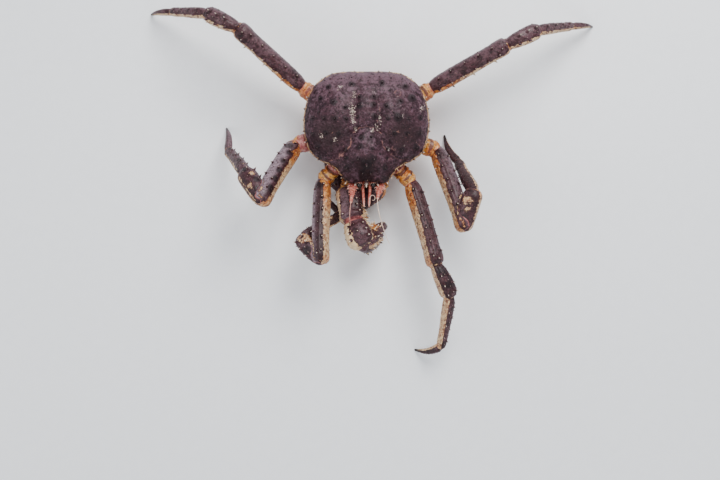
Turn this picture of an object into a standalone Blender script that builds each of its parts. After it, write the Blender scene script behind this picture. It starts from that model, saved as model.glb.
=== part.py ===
"""Red king crab, life size, standing on the floor on its six walking legs.

Metres, +Z up.  The crab faces -Y, so its own left side is +X.  Every shell plate that moves
against another in life is an object of its own.  A limb's plates have their own frames: +X
runs along the plate from its root to its tip, and +Z is its back, or outer, side.  Plates
meet in a socket: the root of each one is a knuckle, and the plate that carries it is
hollowed to fit.  Distances forward of the carapace's centre are negative in Y.
"""

import math
import random

import bmesh
import bpy
from mathutils import Matrix, Vector

# ---------------------------------------------------------------- body
HALF_WIDTH = 0.1125         # half the width of the carapace
RIM_HEIGHT = 0.084          # widest rim of the carapace above the floor
RIM_TURN = 0.0035           # how far below that the rim turns inwards
DOME_RISE = 0.047           # crown of the carapace above its rim
DOME_POWER = (2.5, 0.55)    # shape of the dome from its crown to its rim
SPLIT_HEIGHT = 0.0775       # carapace above, thorax below
BELLY_HEIGHT = 0.038        # flat underside of the thorax
GAP = 0.0003                # between plates that meet
SOCKET_CLEARANCE = 0.0004   # how far a socket stands off the knuckle in it
SEED = 7

# Half outline of the carapace from the middle of the tail margin round to the brow, as
# (outward, backward) in half widths.
CARAPACE_OUTLINE = (
    (0.00, 0.905), (0.30, 0.903), (0.55, 0.870), (0.78, 0.730), (0.905, 0.550), (0.968, 0.350),
    (1.00, 0.040), (0.960, -0.200), (0.880, -0.385), (0.740, -0.500), (0.580, -0.575),
    (0.470, -0.660), (0.390, -0.765), (0.290, -0.855), (0.130, -0.850), (0.00, -0.830),
)
# Swellings of the carapace: (outward, backward, half length across, half length along) in
# half widths, then the rise in metres.  Those off the midline come in pairs.
SWELLINGS = (
    (0.00, -0.42, 0.20, 0.27, 0.0125),     # gastric region
    (0.00, 0.27, 0.15, 0.24, 0.0060),      # cardiac region
    (0.52, 0.22, 0.24, 0.34, 0.0085),      # branchial region
    (0.30, -0.56, 0.10, 0.14, 0.0030),     # hepatic region
)
# Grooves between them: (outward, backward) of each end and half width in half widths, then
# the depth in metres.
GROOVES = (
    (0.00, -0.03, 0.17, -0.06, 0.045, 0.0045),   # behind the gastric region
    (0.17, -0.06, 0.36, -0.40, 0.055, 0.0060),   # round its side
    (0.36, -0.40, 0.52, -0.52, 0.050, 0.0040),
    (0.15, 0.50, 0.21, -0.04, 0.045, 0.0040),    # beside the cardiac region
)
# Rows of spines on each half of the carapace: start and end as (outward, backward) in half
# widths, how many, and their length in metres.
CARAPACE_SPINE_ROWS = (
    ((0.095, 0.46), (0.095, 0.46), 1, 0.0070),   # cardiac region, three pairs
    ((0.095, 0.31), (0.095, 0.31), 1, 0.0070),
    ((0.120, 0.14), (0.120, 0.14), 1, 0.0060),
    ((0.075, -0.18), (0.11, -0.50), 3, 0.0075),  # gastric region
    ((0.31, -0.36), (0.29, -0.62), 3, 0.0060),
    ((0.24, 0.66), (0.59, 0.62), 2, 0.0075),     # branchial region
    ((0.32, 0.30), (0.71, 0.44), 3, 0.0075),
    ((0.32, 0.10), (0.82, 0.14), 4, 0.0070),
    ((0.42, -0.12), (0.84, -0.10), 3, 0.0065),
    ((0.54, -0.36), (0.76, -0.32), 2, 0.0060),
)
# Single spines by the brow: outward and backward in half widths, height above the rim or
# None for the dome's surface, direction, length, and length over the foot's radius.
BROW_SPINES = (
    (0.17, -0.84, 0.004, (0.2, -1, 0.15), 0.0085, 2.0),     # inner orbital pair
    (0.31, -0.82, 0.004, (0.5, -1, 0.20), 0.0085, 2.0),     # outer orbital pair
    (0.055, -0.70, None, (0.25, -0.8, 1), 0.0075, 2.0),     # beside the rostrum
    (0.00, -0.80, 0.005, (0, -1, 0.22), 0.0160, 2.5),       # rostrum
    (0.00, -0.58, None, (0, -0.75, 1), 0.0105, 2.0),        # behind it
)
SPINE_SLENDERNESS = 2.0     # length of a carapace spine over the radius of its foot
SPINE_SUNK = 0.0024         # how far a spine's foot lies under the surface
SPINE_SIDES = 5
RIM_SPINES = 15             # along each side of the rim
RIM_SPINE_ARC = (12, 153)   # degrees from straight back of the first and last
RIM_SPINE_LENGTH = 0.0055
TAIL_MARGIN = (60, 0.6)      # degrees from straight back to where they are short, and their share
RIM_SPINE_LIFT = 0.45       # rise of those spines for each unit outwards
CARAPACE_RINGS = 9
CARAPACE_SEGMENTS = 44
CARAPACE_LIP = ((0.985, RIM_HEIGHT - RIM_TURN), (0.955, SPLIT_HEIGHT))

# Rings of the thorax from the carapace down: share of the carapace's outline, height.
THORAX_RINGS = ((0.955, SPLIT_HEIGHT - GAP), (0.935, 0.070), (0.86, 0.058), (0.72, 0.046),
                (0.58, 0.0395), (0.46, BELLY_HEIGHT))
THORAX_SEGMENTS = 32
# Path of the folded abdomen: share, backward, height, half width, half thickness.
ABDOMEN_PATH = ((0.0, 0.0850, 0.0690, 0.040, 0.0055), (0.20, 0.0810, 0.0500, 0.052, 0.0060),
                (0.40, 0.0600, 0.0375, 0.056, 0.0060), (0.65, 0.0250, 0.0335, 0.046, 0.0055),
                (0.85, -0.0080, 0.0330, 0.030, 0.0048), (1.0, -0.0300, 0.0335, 0.013, 0.0040))
ABDOMEN_PLATES = 6
ABDOMEN_STEP = 0.0010       # how far each plate's edge stands proud of the next
ABDOMEN_SAG = 0.003         # how far its sides curl up
ABDOMEN_POWER = 3.0
ABDOMEN_SIDES = 14

# ---------------------------------------------------------------- limbs
# Plan headings are degrees from straight ahead towards the limb's own side; pitches are
# degrees above the horizontal.  Each leg: root and end of its coxa as (outward, backward,
# height), then (heading, pitch) of its merus, carpus and propodus, the heading of its
# dactyl, and the roll of its back outwards.
WALKING_LEGS = {
    "leg2_left": ((0.046, -0.056, 0.058), (0.080, -0.094, 0.064),
                  (16, 12), (25, -8), (-8, -21), -76, 26),
    "leg2_right": ((0.046, -0.056, 0.058), (0.078, -0.091, 0.064),
                   (1, 24), (138, -34), (-122, -36), 138, 20),
    "leg3_left": ((0.058, -0.014, 0.058), (0.127, -0.036, 0.063),
                  (18, 20), (168, 8), (198, -55), 203, 20),
    "leg3_right": ((0.058, -0.014, 0.058), (0.127, -0.026, 0.063),
                   (27, 42), (149, -28), (138, -55), 168, 20),
    "leg4_left": ((0.054, 0.034, 0.058), (0.116, 0.074, 0.066),
                  (118, 21), (116, -8), (106, -41), 100, 12),
    "leg4_right": ((0.054, 0.034, 0.058), (0.115, 0.076, 0.066),
                   (131, 22), (117, -9), (103, -41), 97, 12),
}
# The same for the claws, with the palm in place of the propodus, and no dactyl's heading.
CHELIPEDS = {
    "cheliped_right": ((0.028, -0.074, 0.056), (0.033, -0.106, 0.055),
                       (-10, 26), (-20, 20), (-130, -58), 10),
    "cheliped_left": ((0.028, -0.074, 0.056), (0.027, -0.102, 0.050),
                      (-55, -29), (-128, -2), (-165, 0), 10),
}
# Length, half thickness and half depth of each plate; a coxa's length is between its ends.
LIMB_SIZES = {
    "leg2": {"coxa": (None, 0.0150, 0.0150), "merus": (0.157, 0.0146, 0.0170),
             "carpus": (0.062, 0.0140, 0.0160), "propodus": (0.102, 0.0092, 0.0112),
             "dactyl": (0.068, 0.0062, 0.0078)},
    "leg3": {"coxa": (None, 0.0158, 0.0155), "merus": (0.158, 0.0152, 0.0176),
             "carpus": (0.066, 0.0144, 0.0166), "propodus": (0.104, 0.0096, 0.0116),
             "dactyl": (0.070, 0.0064, 0.0080)},
    "leg4": {"coxa": (None, 0.0155, 0.0155), "merus": (0.156, 0.0155, 0.0182),
             "carpus": (0.062, 0.0142, 0.0165), "propodus": (0.100, 0.0094, 0.0114),
             "dactyl": (0.068, 0.0062, 0.0078)},
    "cheliped_right": {"coxa": (None, 0.0150, 0.0140), "merus": (0.064, 0.0232, 0.0205),
                       "carpus": (0.050, 0.0232, 0.0210), "palm": (0.102, 0.0250, 0.0180),
                       "finger": (0.055, 0.0100, 0.0088)},
    "cheliped_left": {"coxa": (None, 0.0140, 0.0130), "merus": (0.058, 0.0175, 0.0170),
                      "carpus": (0.042, 0.0175, 0.0165), "palm": (0.086, 0.0180, 0.0140),
                      "finger": (0.048, 0.0076, 0.0070)},
}
# Profiles along a plate: share of its length, half thickness, half depth, and lift of its
# centre line in half depths.
PROFILES = {
    "coxa": ((0.0, 0.86, 0.82, 0.0), (0.25, 1.0, 0.98, 0.0), (0.62, 0.92, 0.92, 0.0),
             (0.74, 1.0, 1.02, 0.0), (0.92, 0.98, 1.0, 0.0), (1.0, 0.80, 0.80, 0.0)),
    "merus": ((0.0, 0.64, 0.60, 0.0), (0.06, 0.88, 0.86, 0.0), (0.18, 1.0, 0.98, 0.03),
              (0.5, 1.0, 1.0, 0.06), (0.8, 0.97, 0.98, 0.04), (0.93, 1.04, 1.05, 0.02),
              (0.98, 0.97, 0.98, 0.0), (1.0, 0.80, 0.80, 0.0)),
    "carpus": ((0.0, 0.60, 0.56, 0.0), (0.13, 0.82, 0.80, 0.05), (0.42, 1.0, 1.0, 0.12),
               (0.75, 1.06, 1.06, 0.06), (0.91, 1.0, 1.0, 0.0), (1.0, 0.80, 0.80, 0.0)),
    "propodus": ((0.0, 0.70, 0.66, 0.0), (0.10, 1.0, 0.98, 0.0), (0.35, 1.02, 1.0, 0.06),
                 (0.70, 0.88, 0.84, 0.06), (0.93, 0.84, 0.82, 0.0), (1.0, 0.66, 0.66, 0.0)),
    "dactyl": ((0.0, 0.74, 0.70, 0.0), (0.10, 1.0, 1.0, 0.02), (0.32, 0.92, 0.90, 0.16),
               (0.62, 0.66, 0.66, 0.20), (0.86, 0.38, 0.38, 0.10), (1.0, 0.24, 0.24, 0.0)),
    "palm": ((0.0, 0.50, 0.62, 0.0), (0.10, 0.78, 0.90, 0.0), (0.28, 1.0, 1.0, 0.0),
             (0.48, 0.96, 0.98, 0.0), (0.60, 0.58, 0.74, -0.05), (0.80, 0.38, 0.54, -0.08),
             (1.0, 0.15, 0.22, -0.05)),
    "finger": ((0.0, 0.82, 0.80, 0.0), (0.14, 1.0, 1.0, 0.06), (0.45, 0.86, 0.84, 0.16),
               (0.75, 0.60, 0.60, 0.12), (1.0, 0.22, 0.24, 0.0)),
}
BOWS = {"merus": 0.012, "dactyl": 0.05, "finger": 0.04}   # rise at mid length, in lengths
# How far the palm's centre line, and with it its fixed finger, leans outwards: share of the
# length, then half thicknesses.
PALM_LEAN = ((0.0, 0.0), (0.28, 0.0), (0.48, 0.06), (0.62, 0.40), (0.82, 0.42), (1.0, 0.20))
FINGER_HINGE = (0.50, -0.50)    # share of the palm's length, half thicknesses outwards
FINGER_CLOSING = 13             # degrees that the finger leans towards the fixed one
FINGER_ROLL = 62                # degrees that its back faces inwards from the palm's back
# Rows of spines on a plate: angle round it in degrees, 0 outwards and 90 on its back, first
# and last share of its length, how many, and their length in metres.
SPINE_ROWS = {
    "coxa": ((95, 0.93, 0.93, 1, 0.0045),),
    "merus": ((62, 0.16, 0.86, 5, 0.0060), (118, 0.10, 0.90, 6, 0.0065),
              (178, 0.24, 0.80, 3, 0.0045), (90, 0.95, 0.95, 1, 0.0070)),
    "carpus": ((70, 0.34, 0.86, 3, 0.0070), (122, 0.28, 0.88, 3, 0.0065)),
    "propodus": ((72, 0.16, 0.84, 4, 0.0045), (120, 0.24, 0.76, 3, 0.0045)),
    "dactyl": (),
}
CHELIPED_SPINE_ROWS = {
    "coxa": (),
    "merus": ((62, 0.52, 0.88, 2, 0.0065), (125, 0.50, 0.88, 3, 0.0070)),
    "carpus": ((60, 0.34, 0.84, 3, 0.0075), (125, 0.34, 0.84, 3, 0.0075),
               (90, 0.60, 0.60, 1, 0.0070)),
    "palm": ((40, 0.14, 0.50, 3, 0.0065), (90, 0.12, 0.44, 3, 0.0060),
             (140, 0.16, 0.62, 4, 0.0065)),
    "finger": ((110, 0.20, 0.44, 2, 0.0045),),
}
# The left claw is folded in under the right one, where there is room for fewer of them.
FOLDED_SPINE_ROWS = {
    "merus": ((62, 0.52, 0.80, 2, 0.0065),),
    "carpus": ((60, 0.34, 0.34, 1, 0.0065), (90, 0.52, 0.52, 1, 0.0055)),
}
LIMB_SPINE_SLENDERNESS = 2.2
LIMB_SPINE_LEAN = 0.35      # how far these spines lean towards the plate's far end
SPINE_CLEARANCE = 0.003     # a spine nearer than this to a neighbouring plate is left out
PLATE_SIDES = 10            # sides of a plate's cross-section
SECTION_POWER = 2.5         # 2 is an ellipse, more is squarer
KNUCKLE_DEPTH = 0.55        # rounding of a plate's root, over its half depth there
END_DEPTH = 0.34            # and of its far end
FOOT_RADIUS = 0.0016        # half thickness of a dactyl's point where the floor cuts it
FOOT_SUNK = 0.0009          # how far its centre line runs past the floor

# ---------------------------------------------------------------- head parts
# Paths on the left side: share, outward, backward, height, radius.
EYE_PATH = ((0.0, 0.0100, -0.0860, 0.0817, 0.0026), (0.35, 0.0115, -0.0935, 0.0826, 0.0030),
            (0.50, 0.0120, -0.0965, 0.0830, 0.0042), (0.72, 0.0125, -0.0995, 0.0835, 0.0047),
            (0.90, 0.0130, -0.1018, 0.0839, 0.0036), (1.0, 0.0132, -0.1028, 0.0841, 0.0016))
ANTENNA_BASE = ((0.0, 0.0215, -0.0800, 0.0745, 0.0058), (0.08, 0.0230, -0.0925, 0.0772, 0.0062),
                (0.12, 0.0234, -0.0982, 0.0798, 0.0047), (0.15, 0.0236, -0.1030, 0.0827, 0.0054))
# The left whip bends outwards; of the right one only a stump shows in the photo.
ANTENNA_PATHS = {
    "left": (*ANTENNA_BASE,
             (0.21, 0.0226, -0.1105, 0.0885, 0.0042), (0.235, 0.0220, -0.1135, 0.0912, 0.0046),
             (0.31, 0.0202, -0.1205, 0.0980, 0.0030), (0.345, 0.0194, -0.1245, 0.1010, 0.0026),
             (0.36, 0.0192, -0.1265, 0.1025, 0.0012), (0.48, 0.0203, -0.1420, 0.1090, 0.0011),
             (0.60, 0.0235, -0.1570, 0.1130, 0.0010), (0.80, 0.0310, -0.1830, 0.1125, 0.0008),
             (1.0, 0.0400, -0.2050, 0.1040, 0.0005)),
    "right": (*ANTENNA_BASE,
              (0.21, 0.0246, -0.1110, 0.0885, 0.0042), (0.235, 0.0252, -0.1145, 0.0912, 0.0046),
              (0.31, 0.0268, -0.1250, 0.0995, 0.0030), (0.345, 0.0275, -0.1310, 0.1035, 0.0026),
              (0.36, 0.0278, -0.1330, 0.1050, 0.0012), (0.48, 0.0288, -0.1420, 0.1095, 0.0011),
              (0.60, 0.0294, -0.1510, 0.1135, 0.0010), (0.80, 0.0292, -0.1620, 0.1180, 0.0008),
              (1.0, 0.0280, -0.1730, 0.1215, 0.0005)),
}
# Spines on the base of an antenna: share of its path, angle round it in degrees with 0
# outwards and 90 up, and length.
ANTENNA_SPINES = ((0.150, 6, 0.0080), (0.17, -16, 0.0060), (0.18, 26, 0.0060), (0.15, 60, 0.0040),
                  (0.19, 105, 0.0034), (0.235, 60, 0.0035), (0.24, 120, 0.0030))
ANTENNULE_PATH = ((0.0, 0.0062, -0.0780, 0.0735, 0.0026), (0.25, 0.0066, -0.0960, 0.0765, 0.0030),
                  (0.50, 0.0062, -0.1100, 0.0845, 0.0026), (0.75, 0.0052, -0.1235, 0.0955, 0.0025),
                  (0.92, 0.0046, -0.1340, 0.1030, 0.0020), (1.0, 0.0043, -0.1395, 0.1065, 0.0009))
MAXILLIPED_PATH = ((0.0, 0.0078, -0.0580, 0.0440, 0.0050), (0.20, 0.0080, -0.0715, 0.0425, 0.0062),
                   (0.45, 0.0080, -0.0835, 0.0435, 0.0058), (0.62, 0.0078, -0.0890, 0.0490, 0.0050),
                   (0.80, 0.0074, -0.0902, 0.0560, 0.0042), (1.0, 0.0068, -0.0885, 0.0615, 0.0022))
TUBE_END = 0.4              # rounding of a tube's ends, in radii

# ---------------------------------------------------------------- colours
# Material name, colour, roughness.
PURPLE_SHELL = ("purple_shell", (0.085, 0.042, 0.050, 1.0), 0.42)
LEG_SHELL = ("leg_shell", (0.110, 0.048, 0.048, 1.0), 0.40)
PALE_SHELL = ("pale_shell", (0.520, 0.330, 0.190, 1.0), 0.50)
RED_FEELER = ("red_feeler", (0.480, 0.130, 0.090, 1.0), 0.45)
EYE_BLACK = ("eye_black", (0.008, 0.007, 0.008, 1.0), 0.12)
SHARP_ANGLE = math.radians(38)

# Head parts: name, path, sides, finish.
HEAD_PARTS = (
    ("eye", EYE_PATH, 8, EYE_BLACK),
    ("antenna", ANTENNA_PATHS, 6, RED_FEELER),
    ("antennule", ANTENNULE_PATH, 6, RED_FEELER),
    ("maxilliped", MAXILLIPED_PATH, 8, PALE_SHELL),
)


def clear_scene():
    """Removes whatever the startup scene holds."""
    for thing in list(bpy.data.objects):
        bpy.data.objects.remove(thing, do_unlink=True)


def material(finish):
    """A Principled material from its name, colour and roughness."""
    name, colour, roughness = finish
    made = bpy.data.materials.get(name)
    if made is None:
        made = bpy.data.materials.new(name)
        made.use_nodes = True
        shader = made.node_tree.nodes["Principled BSDF"]
        shader.inputs["Base Color"].default_value = colour
        shader.inputs["Roughness"].default_value = roughness
        shader.inputs["Metallic"].default_value = 0.0
    return made


# ---------------------------------------------------------------- curves and meshes
def smooth_row(rows, at):
    """Row of values at position at, smoothly between rows whose first entry is the position."""
    if at <= rows[0][0]:
        return rows[0][1:]
    if at >= rows[-1][0]:
        return rows[-1][1:]
    last = next(i for i in range(1, len(rows)) if rows[i][0] >= at)
    before, after = rows[last - 1], rows[last]
    first = rows[max(last - 2, 0)]
    final = rows[min(last + 1, len(rows) - 1)]
    span = after[0] - before[0]
    share = (at - before[0]) / span
    s2, s3 = share ** 2, share ** 3
    found = []
    for k in range(1, len(before)):
        slope_in = (after[k] - first[k]) / (after[0] - first[0]) * span
        slope_out = (final[k] - before[k]) / (final[0] - before[0]) * span
        found.append((2 * s3 - 3 * s2 + 1) * before[k] + (s3 - 2 * s2 + share) * slope_in
                     + (3 * s2 - 2 * s3) * after[k] + (s3 - s2) * slope_out)
    return tuple(found)


def section_point(angle, half_thick, half_deep, power=SECTION_POWER):
    """Point of a rounded section at an angle, as (across, up)."""
    c, s = math.cos(angle), math.sin(angle)
    return (math.copysign(abs(c) ** (2 / power), c) * half_thick,
            math.copysign(abs(s) ** (2 / power), s) * half_deep)


def closed_mesh(name, rings, start=None, end=None):
    """A closed mesh over rings of points; each end is a fan to a point, or a flat face."""
    mesh = bmesh.new()
    loops = [[mesh.verts.new(point) for point in ring] for ring in rings]
    count = len(loops[0])
    for near, far in zip(loops, loops[1:]):
        for i in range(count):
            j = (i + 1) % count
            mesh.faces.new((near[i], near[j], far[j], far[i]))
    for loop, tip in ((loops[0][::-1], start), (loops[-1], end)):
        if tip is None:
            mesh.faces.new(loop)
            continue
        point = mesh.verts.new(tip)
        for i in range(count):
            mesh.faces.new((loop[i], loop[(i + 1) % count], point))
    bmesh.ops.recalc_face_normals(mesh, faces=mesh.faces)
    made = bpy.data.meshes.new(name)
    mesh.to_mesh(made)
    mesh.free()
    return made


def new_object(name, mesh, matrix, finish, root):
    """Puts a mesh in the scene, placed by matrix under the root empty."""
    made = bpy.data.objects.new(name, mesh)
    bpy.context.scene.collection.objects.link(made)
    made.data.materials.append(material(finish))
    made.parent = root
    made.matrix_world = matrix
    return made


def new_spine(foot, direction, length, slenderness, matrix, finish, root):
    """A pointed spine whose foot is sunk below the surface that it grows from."""
    axis = Vector(direction).normalized()
    side = axis.orthogonal().normalized()
    other = axis.cross(side)
    base = Vector(foot) - axis * SPINE_SUNK
    flare = length / slenderness * (1 + SPINE_SUNK / length)
    ring = []
    for k in range(SPINE_SIDES):
        turn = math.tau * k / SPINE_SIDES
        ring.append(base + (side * math.cos(turn) + other * math.sin(turn)) * flare)
    mesh = closed_mesh("spine", [ring], end=Vector(foot) + axis * length)
    return new_object("spine", mesh, matrix, finish, root)


# ---------------------------------------------------------------- joining and cutting
def keep_largest_surface(mesh):
    """Keeps only the largest closed surface of a mesh."""
    work = bmesh.new()
    work.from_mesh(mesh)
    unseen, groups = set(work.verts), []
    while unseen:
        stack, group = [unseen.pop()], []
        while stack:
            vert = stack.pop()
            group.append(vert)
            for edge in vert.link_edges:
                other = edge.other_vert(vert)
                if other in unseen:
                    unseen.remove(other)
                    stack.append(other)
        groups.append(group)
    groups.sort(key=len)
    for group in groups[:-1]:
        bmesh.ops.delete(work, geom=group, context="VERTS")
    work.to_mesh(mesh)
    work.free()


def combine(body, tools, operation):
    """Unites or cuts a body with a list of tool objects by one Boolean, then removes them."""
    if not tools:
        return
    group = bpy.data.collections.new("tools")
    bpy.context.scene.collection.children.link(group)
    for tool in tools:
        for holder in list(tool.users_collection):
            holder.objects.unlink(tool)
        group.objects.link(tool)
    modifier = body.modifiers.new("combine", "BOOLEAN")
    modifier.operation = operation
    modifier.operand_type = "COLLECTION"
    modifier.collection = group
    modifier.solver = "MANIFOLD"
    bpy.context.view_layer.update()
    graph = bpy.context.evaluated_depsgraph_get()
    result = bpy.data.meshes.new_from_object(body.evaluated_get(graph))
    body.modifiers.clear()
    old = body.data
    body.data = result
    bpy.data.meshes.remove(old)
    for tool in tools:
        bpy.data.objects.remove(tool, do_unlink=True)
    bpy.data.collections.remove(group)
    keep_largest_surface(body.data)


# ---------------------------------------------------------------- carapace
def outline_rows():
    """The carapace outline as (angle from straight back, radius) rows, past both ends."""
    rows = [(math.atan2(out, back), math.hypot(out, back) * HALF_WIDTH)
            for out, back in CARAPACE_OUTLINE]
    before = (-rows[1][0], rows[1][1])
    after = (math.tau - rows[-2][0], rows[-2][1])
    return (before, *rows, after)


OUTLINE_ROWS = outline_rows()


def outline_radius(x, y):
    """Radius of the carapace's rim in the direction of a plan point."""
    return smooth_row(OUTLINE_ROWS, math.atan2(abs(x), y))[0]


def segment_distance(x, y, x0, y0, x1, y1):
    """Distance of a plan point from a straight segment."""
    along = ((x - x0) * (x1 - x0) + (y - y0) * (y1 - y0)) / ((x1 - x0) ** 2 + (y1 - y0) ** 2)
    along = min(1.0, max(0.0, along))
    return math.hypot(x - x0 - along * (x1 - x0), y - y0 - along * (y1 - y0))


def relief(x, y):
    """Swellings and grooves of the carapace at a plan point."""
    out, back = abs(x) / HALF_WIDTH, y / HALF_WIDTH
    rise = 0.0
    for mid_out, mid_back, across, along, height in SWELLINGS:
        rise += height * math.exp(-((out - mid_out) / across) ** 2 - ((back - mid_back) / along) ** 2)
    for x0, y0, x1, y1, width, depth in GROOVES:
        rise -= depth * math.exp(-(segment_distance(out, back, x0, y0, x1, y1) / width) ** 2)
    return rise


def dome_height(x, y):
    """Upper surface of the carapace at a plan point."""
    rho = min(1.0, math.hypot(x, y) / outline_radius(x, y))
    inner, outer = DOME_POWER
    return RIM_HEIGHT + DOME_RISE * (1 - rho ** inner) ** outer + relief(x, y) * (1 - rho ** 6)


def dome_normal(x, y):
    """Outward direction of that surface, measured a little in from the rim."""
    step = 0.002
    inset = min(1.0, 0.9 * outline_radius(x, y) / math.hypot(x, y))
    x, y = x * inset, y * inset
    dx = (dome_height(x + step, y) - dome_height(x - step, y)) / (2 * step)
    dy = (dome_height(x, y + step) - dome_height(x, y - step)) / (2 * step)
    return Vector((-dx, -dy, 1)).normalized()


def rim_angles(count):
    """Angles from straight back, all the way round, spaced evenly along the rim."""
    fine = 720
    angles = [math.tau * k / fine for k in range(fine + 1)]
    rim = []
    for angle in angles:
        radius = outline_radius(math.sin(angle), math.cos(angle))
        rim.append((math.sin(angle) * radius, math.cos(angle) * radius))
    travelled = [0.0]
    for p, q in zip(rim, rim[1:]):
        travelled.append(travelled[-1] + math.dist(p, q))
    found, k = [], 0
    for i in range(count):
        wanted = travelled[-1] * i / count
        while travelled[k + 1] < wanted:
            k += 1
        share = (wanted - travelled[k]) / (travelled[k + 1] - travelled[k])
        found.append(angles[k] + share * (angles[k + 1] - angles[k]))
    return found


def rim_ring(angles, share, height=None):
    """Ring of points at a share of the rim's radius, on the dome or at a height."""
    ring = []
    for angle in angles:
        radius = outline_radius(math.sin(angle), math.cos(angle)) * share
        x, y = math.sin(angle) * radius, math.cos(angle) * radius
        ring.append(Vector((x, y, dome_height(x, y) if height is None else height)))
    return ring


def carapace_spine_feet():
    """Foot, direction, length and slenderness of every spine of the carapace."""
    found = []
    for side in (-1, 1):
        for start, end, count, length in CARAPACE_SPINE_ROWS:
            for k in range(count):
                share = k / max(1, count - 1)
                x = side * HALF_WIDTH * (start[0] + (end[0] - start[0]) * share)
                y = HALF_WIDTH * (start[1] + (end[1] - start[1]) * share)
                y += random.uniform(-0.0025, 0.0025)
                tall = length * random.uniform(0.88, 1.12)
                foot = (x, y, dome_height(x, y))
                found.append((foot, dome_normal(x, y), tall, SPINE_SLENDERNESS))
        first, last = RIM_SPINE_ARC
        for k in range(RIM_SPINES):
            angle = math.radians(first + (last - first) * k / (RIM_SPINES - 1))
            radius = outline_radius(math.sin(angle), math.cos(angle)) * CARAPACE_LIP[0][0]
            foot = (side * math.sin(angle) * radius, math.cos(angle) * radius,
                    RIM_HEIGHT + RIM_SPINE_LENGTH)
            out = (side * math.sin(angle), math.cos(angle), RIM_SPINE_LIFT)
            tall = RIM_SPINE_LENGTH * random.uniform(0.85, 1.25)
            if angle < math.radians(TAIL_MARGIN[0]):
                tall *= TAIL_MARGIN[1]
            found.append((foot, out, tall, SPINE_SLENDERNESS))
        for out, back, lift, way, length, slenderness in BROW_SPINES:
            if out == 0 and side < 0:
                continue
            x, y = side * out * HALF_WIDTH, back * HALF_WIDTH
            height = dome_height(x, y) if lift is None else RIM_HEIGHT + lift
            found.append(((x, y, height), (side * way[0], way[1], way[2]), length, slenderness))
    return found


def build_carapace(root):
    """The back shell: dome, turned-in rim, rows of spines, rostrum and orbital spines."""
    angles = rim_angles(CARAPACE_SEGMENTS)
    rings = [rim_ring(angles, math.sin(math.pi / 2 * k / CARAPACE_RINGS))
             for k in range(1, CARAPACE_RINGS + 1)]
    rings += [rim_ring(angles, share, height) for share, height in CARAPACE_LIP]
    mesh = closed_mesh("carapace", rings, start=Vector((0, 0, dome_height(0, 0))))
    here = Matrix.Identity(4)
    shell = new_object("carapace", mesh, here, PURPLE_SHELL, root)
    spines = [new_spine(*spine, here, PURPLE_SHELL, root) for spine in carapace_spine_feet()]
    combine(shell, spines, "UNION")
    return shell


# ---------------------------------------------------------------- thorax and abdomen
def build_thorax(root):
    """The underside of the body, which carries every limb."""
    angles = rim_angles(THORAX_SEGMENTS)
    rings = [rim_ring(angles, share, height) for share, height in THORAX_RINGS]
    mesh = closed_mesh("thorax", rings)
    return new_object("thorax", mesh, Matrix.Identity(4), PALE_SHELL, root)


def abdomen_object(name, swell, root):
    """The tail, folded round the back and under the thorax, stepped where its plates overlap."""
    rings, ends = [], []
    steps = ABDOMEN_PLATES * 3
    for k in range(steps + 1):
        share = k / steps
        back, height, half_width, half_thick = smooth_row(ABDOMEN_PATH, share)
        ahead = smooth_row(ABDOMEN_PATH, min(1.0, share + 0.01))
        behind = smooth_row(ABDOMEN_PATH, max(0.0, share - 0.01))
        run = Vector((0, ahead[0] - behind[0], ahead[1] - behind[1])).normalized()
        inner = Vector((0, -run.z, run.y))
        proud = ABDOMEN_STEP if swell else ABDOMEN_STEP * (1 - k % 3 / 2)
        centre = Vector((0, back, height))
        ring = []
        for i in range(ABDOMEN_SIDES):
            across, up = section_point(math.tau * i / ABDOMEN_SIDES, half_width + swell,
                                       half_thick + proud + swell, ABDOMEN_POWER)
            sag = ABDOMEN_SAG * (across / half_width) ** 2
            ring.append(centre + Vector((across, 0, sag)) + inner * up)
        rings.append(ring)
        ends.append((centre, run * (half_thick * 0.5 + swell)))
    start = ends[0][0] - ends[0][1]
    end = ends[-1][0] + ends[-1][1]
    mesh = closed_mesh(name, rings, start, end)
    return new_object(name, mesh, Matrix.Identity(4), PALE_SHELL, root)


# ---------------------------------------------------------------- plates of the limbs
def palm_lean(kind, share):
    """Outward lean of a plate's centre line, in half thicknesses; only the palm has any."""
    return smooth_row(PALM_LEAN, share)[0] if kind == "palm" else 0.0


def plate_section(body, share):
    """Half thickness, half depth, sideways shift and rise of a plate's section."""
    kind, side, (length, half_thick, half_deep), _ = body
    thick, deep, lift = smooth_row(PROFILES[kind], share)
    rise = lift * half_deep + BOWS.get(kind, 0.0) * length * math.sin(math.pi * share)
    shift = side * palm_lean(kind, share) * half_thick
    return thick * half_thick, deep * half_deep, shift, rise


def plate_object(name, body, swell, finish, root):
    """A plate along +X with a rounded knuckle at its root and a rounded far end."""
    kind, _, (length, _, _), matrix = body
    rings = []
    for share, *_ in PROFILES[kind]:
        thick, deep, shift, rise = plate_section(body, share)
        ring = []
        for i in range(PLATE_SIDES):
            across, up = section_point(math.tau * (i + 0.5) / PLATE_SIDES, thick + swell,
                                       deep + swell)
            ring.append(Vector((share * length, across + shift, up + rise)))
        rings.append(ring)
    _, deep, shift, rise = plate_section(body, 0.0)
    start = Vector((-KNUCKLE_DEPTH * deep - swell, shift, rise))
    _, deep, shift, rise = plate_section(body, 1.0)
    end = Vector((length + END_DEPTH * deep + swell, shift, rise))
    mesh = closed_mesh(name, rings, start, end)
    return new_object(name, mesh, matrix, finish, root)


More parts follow.
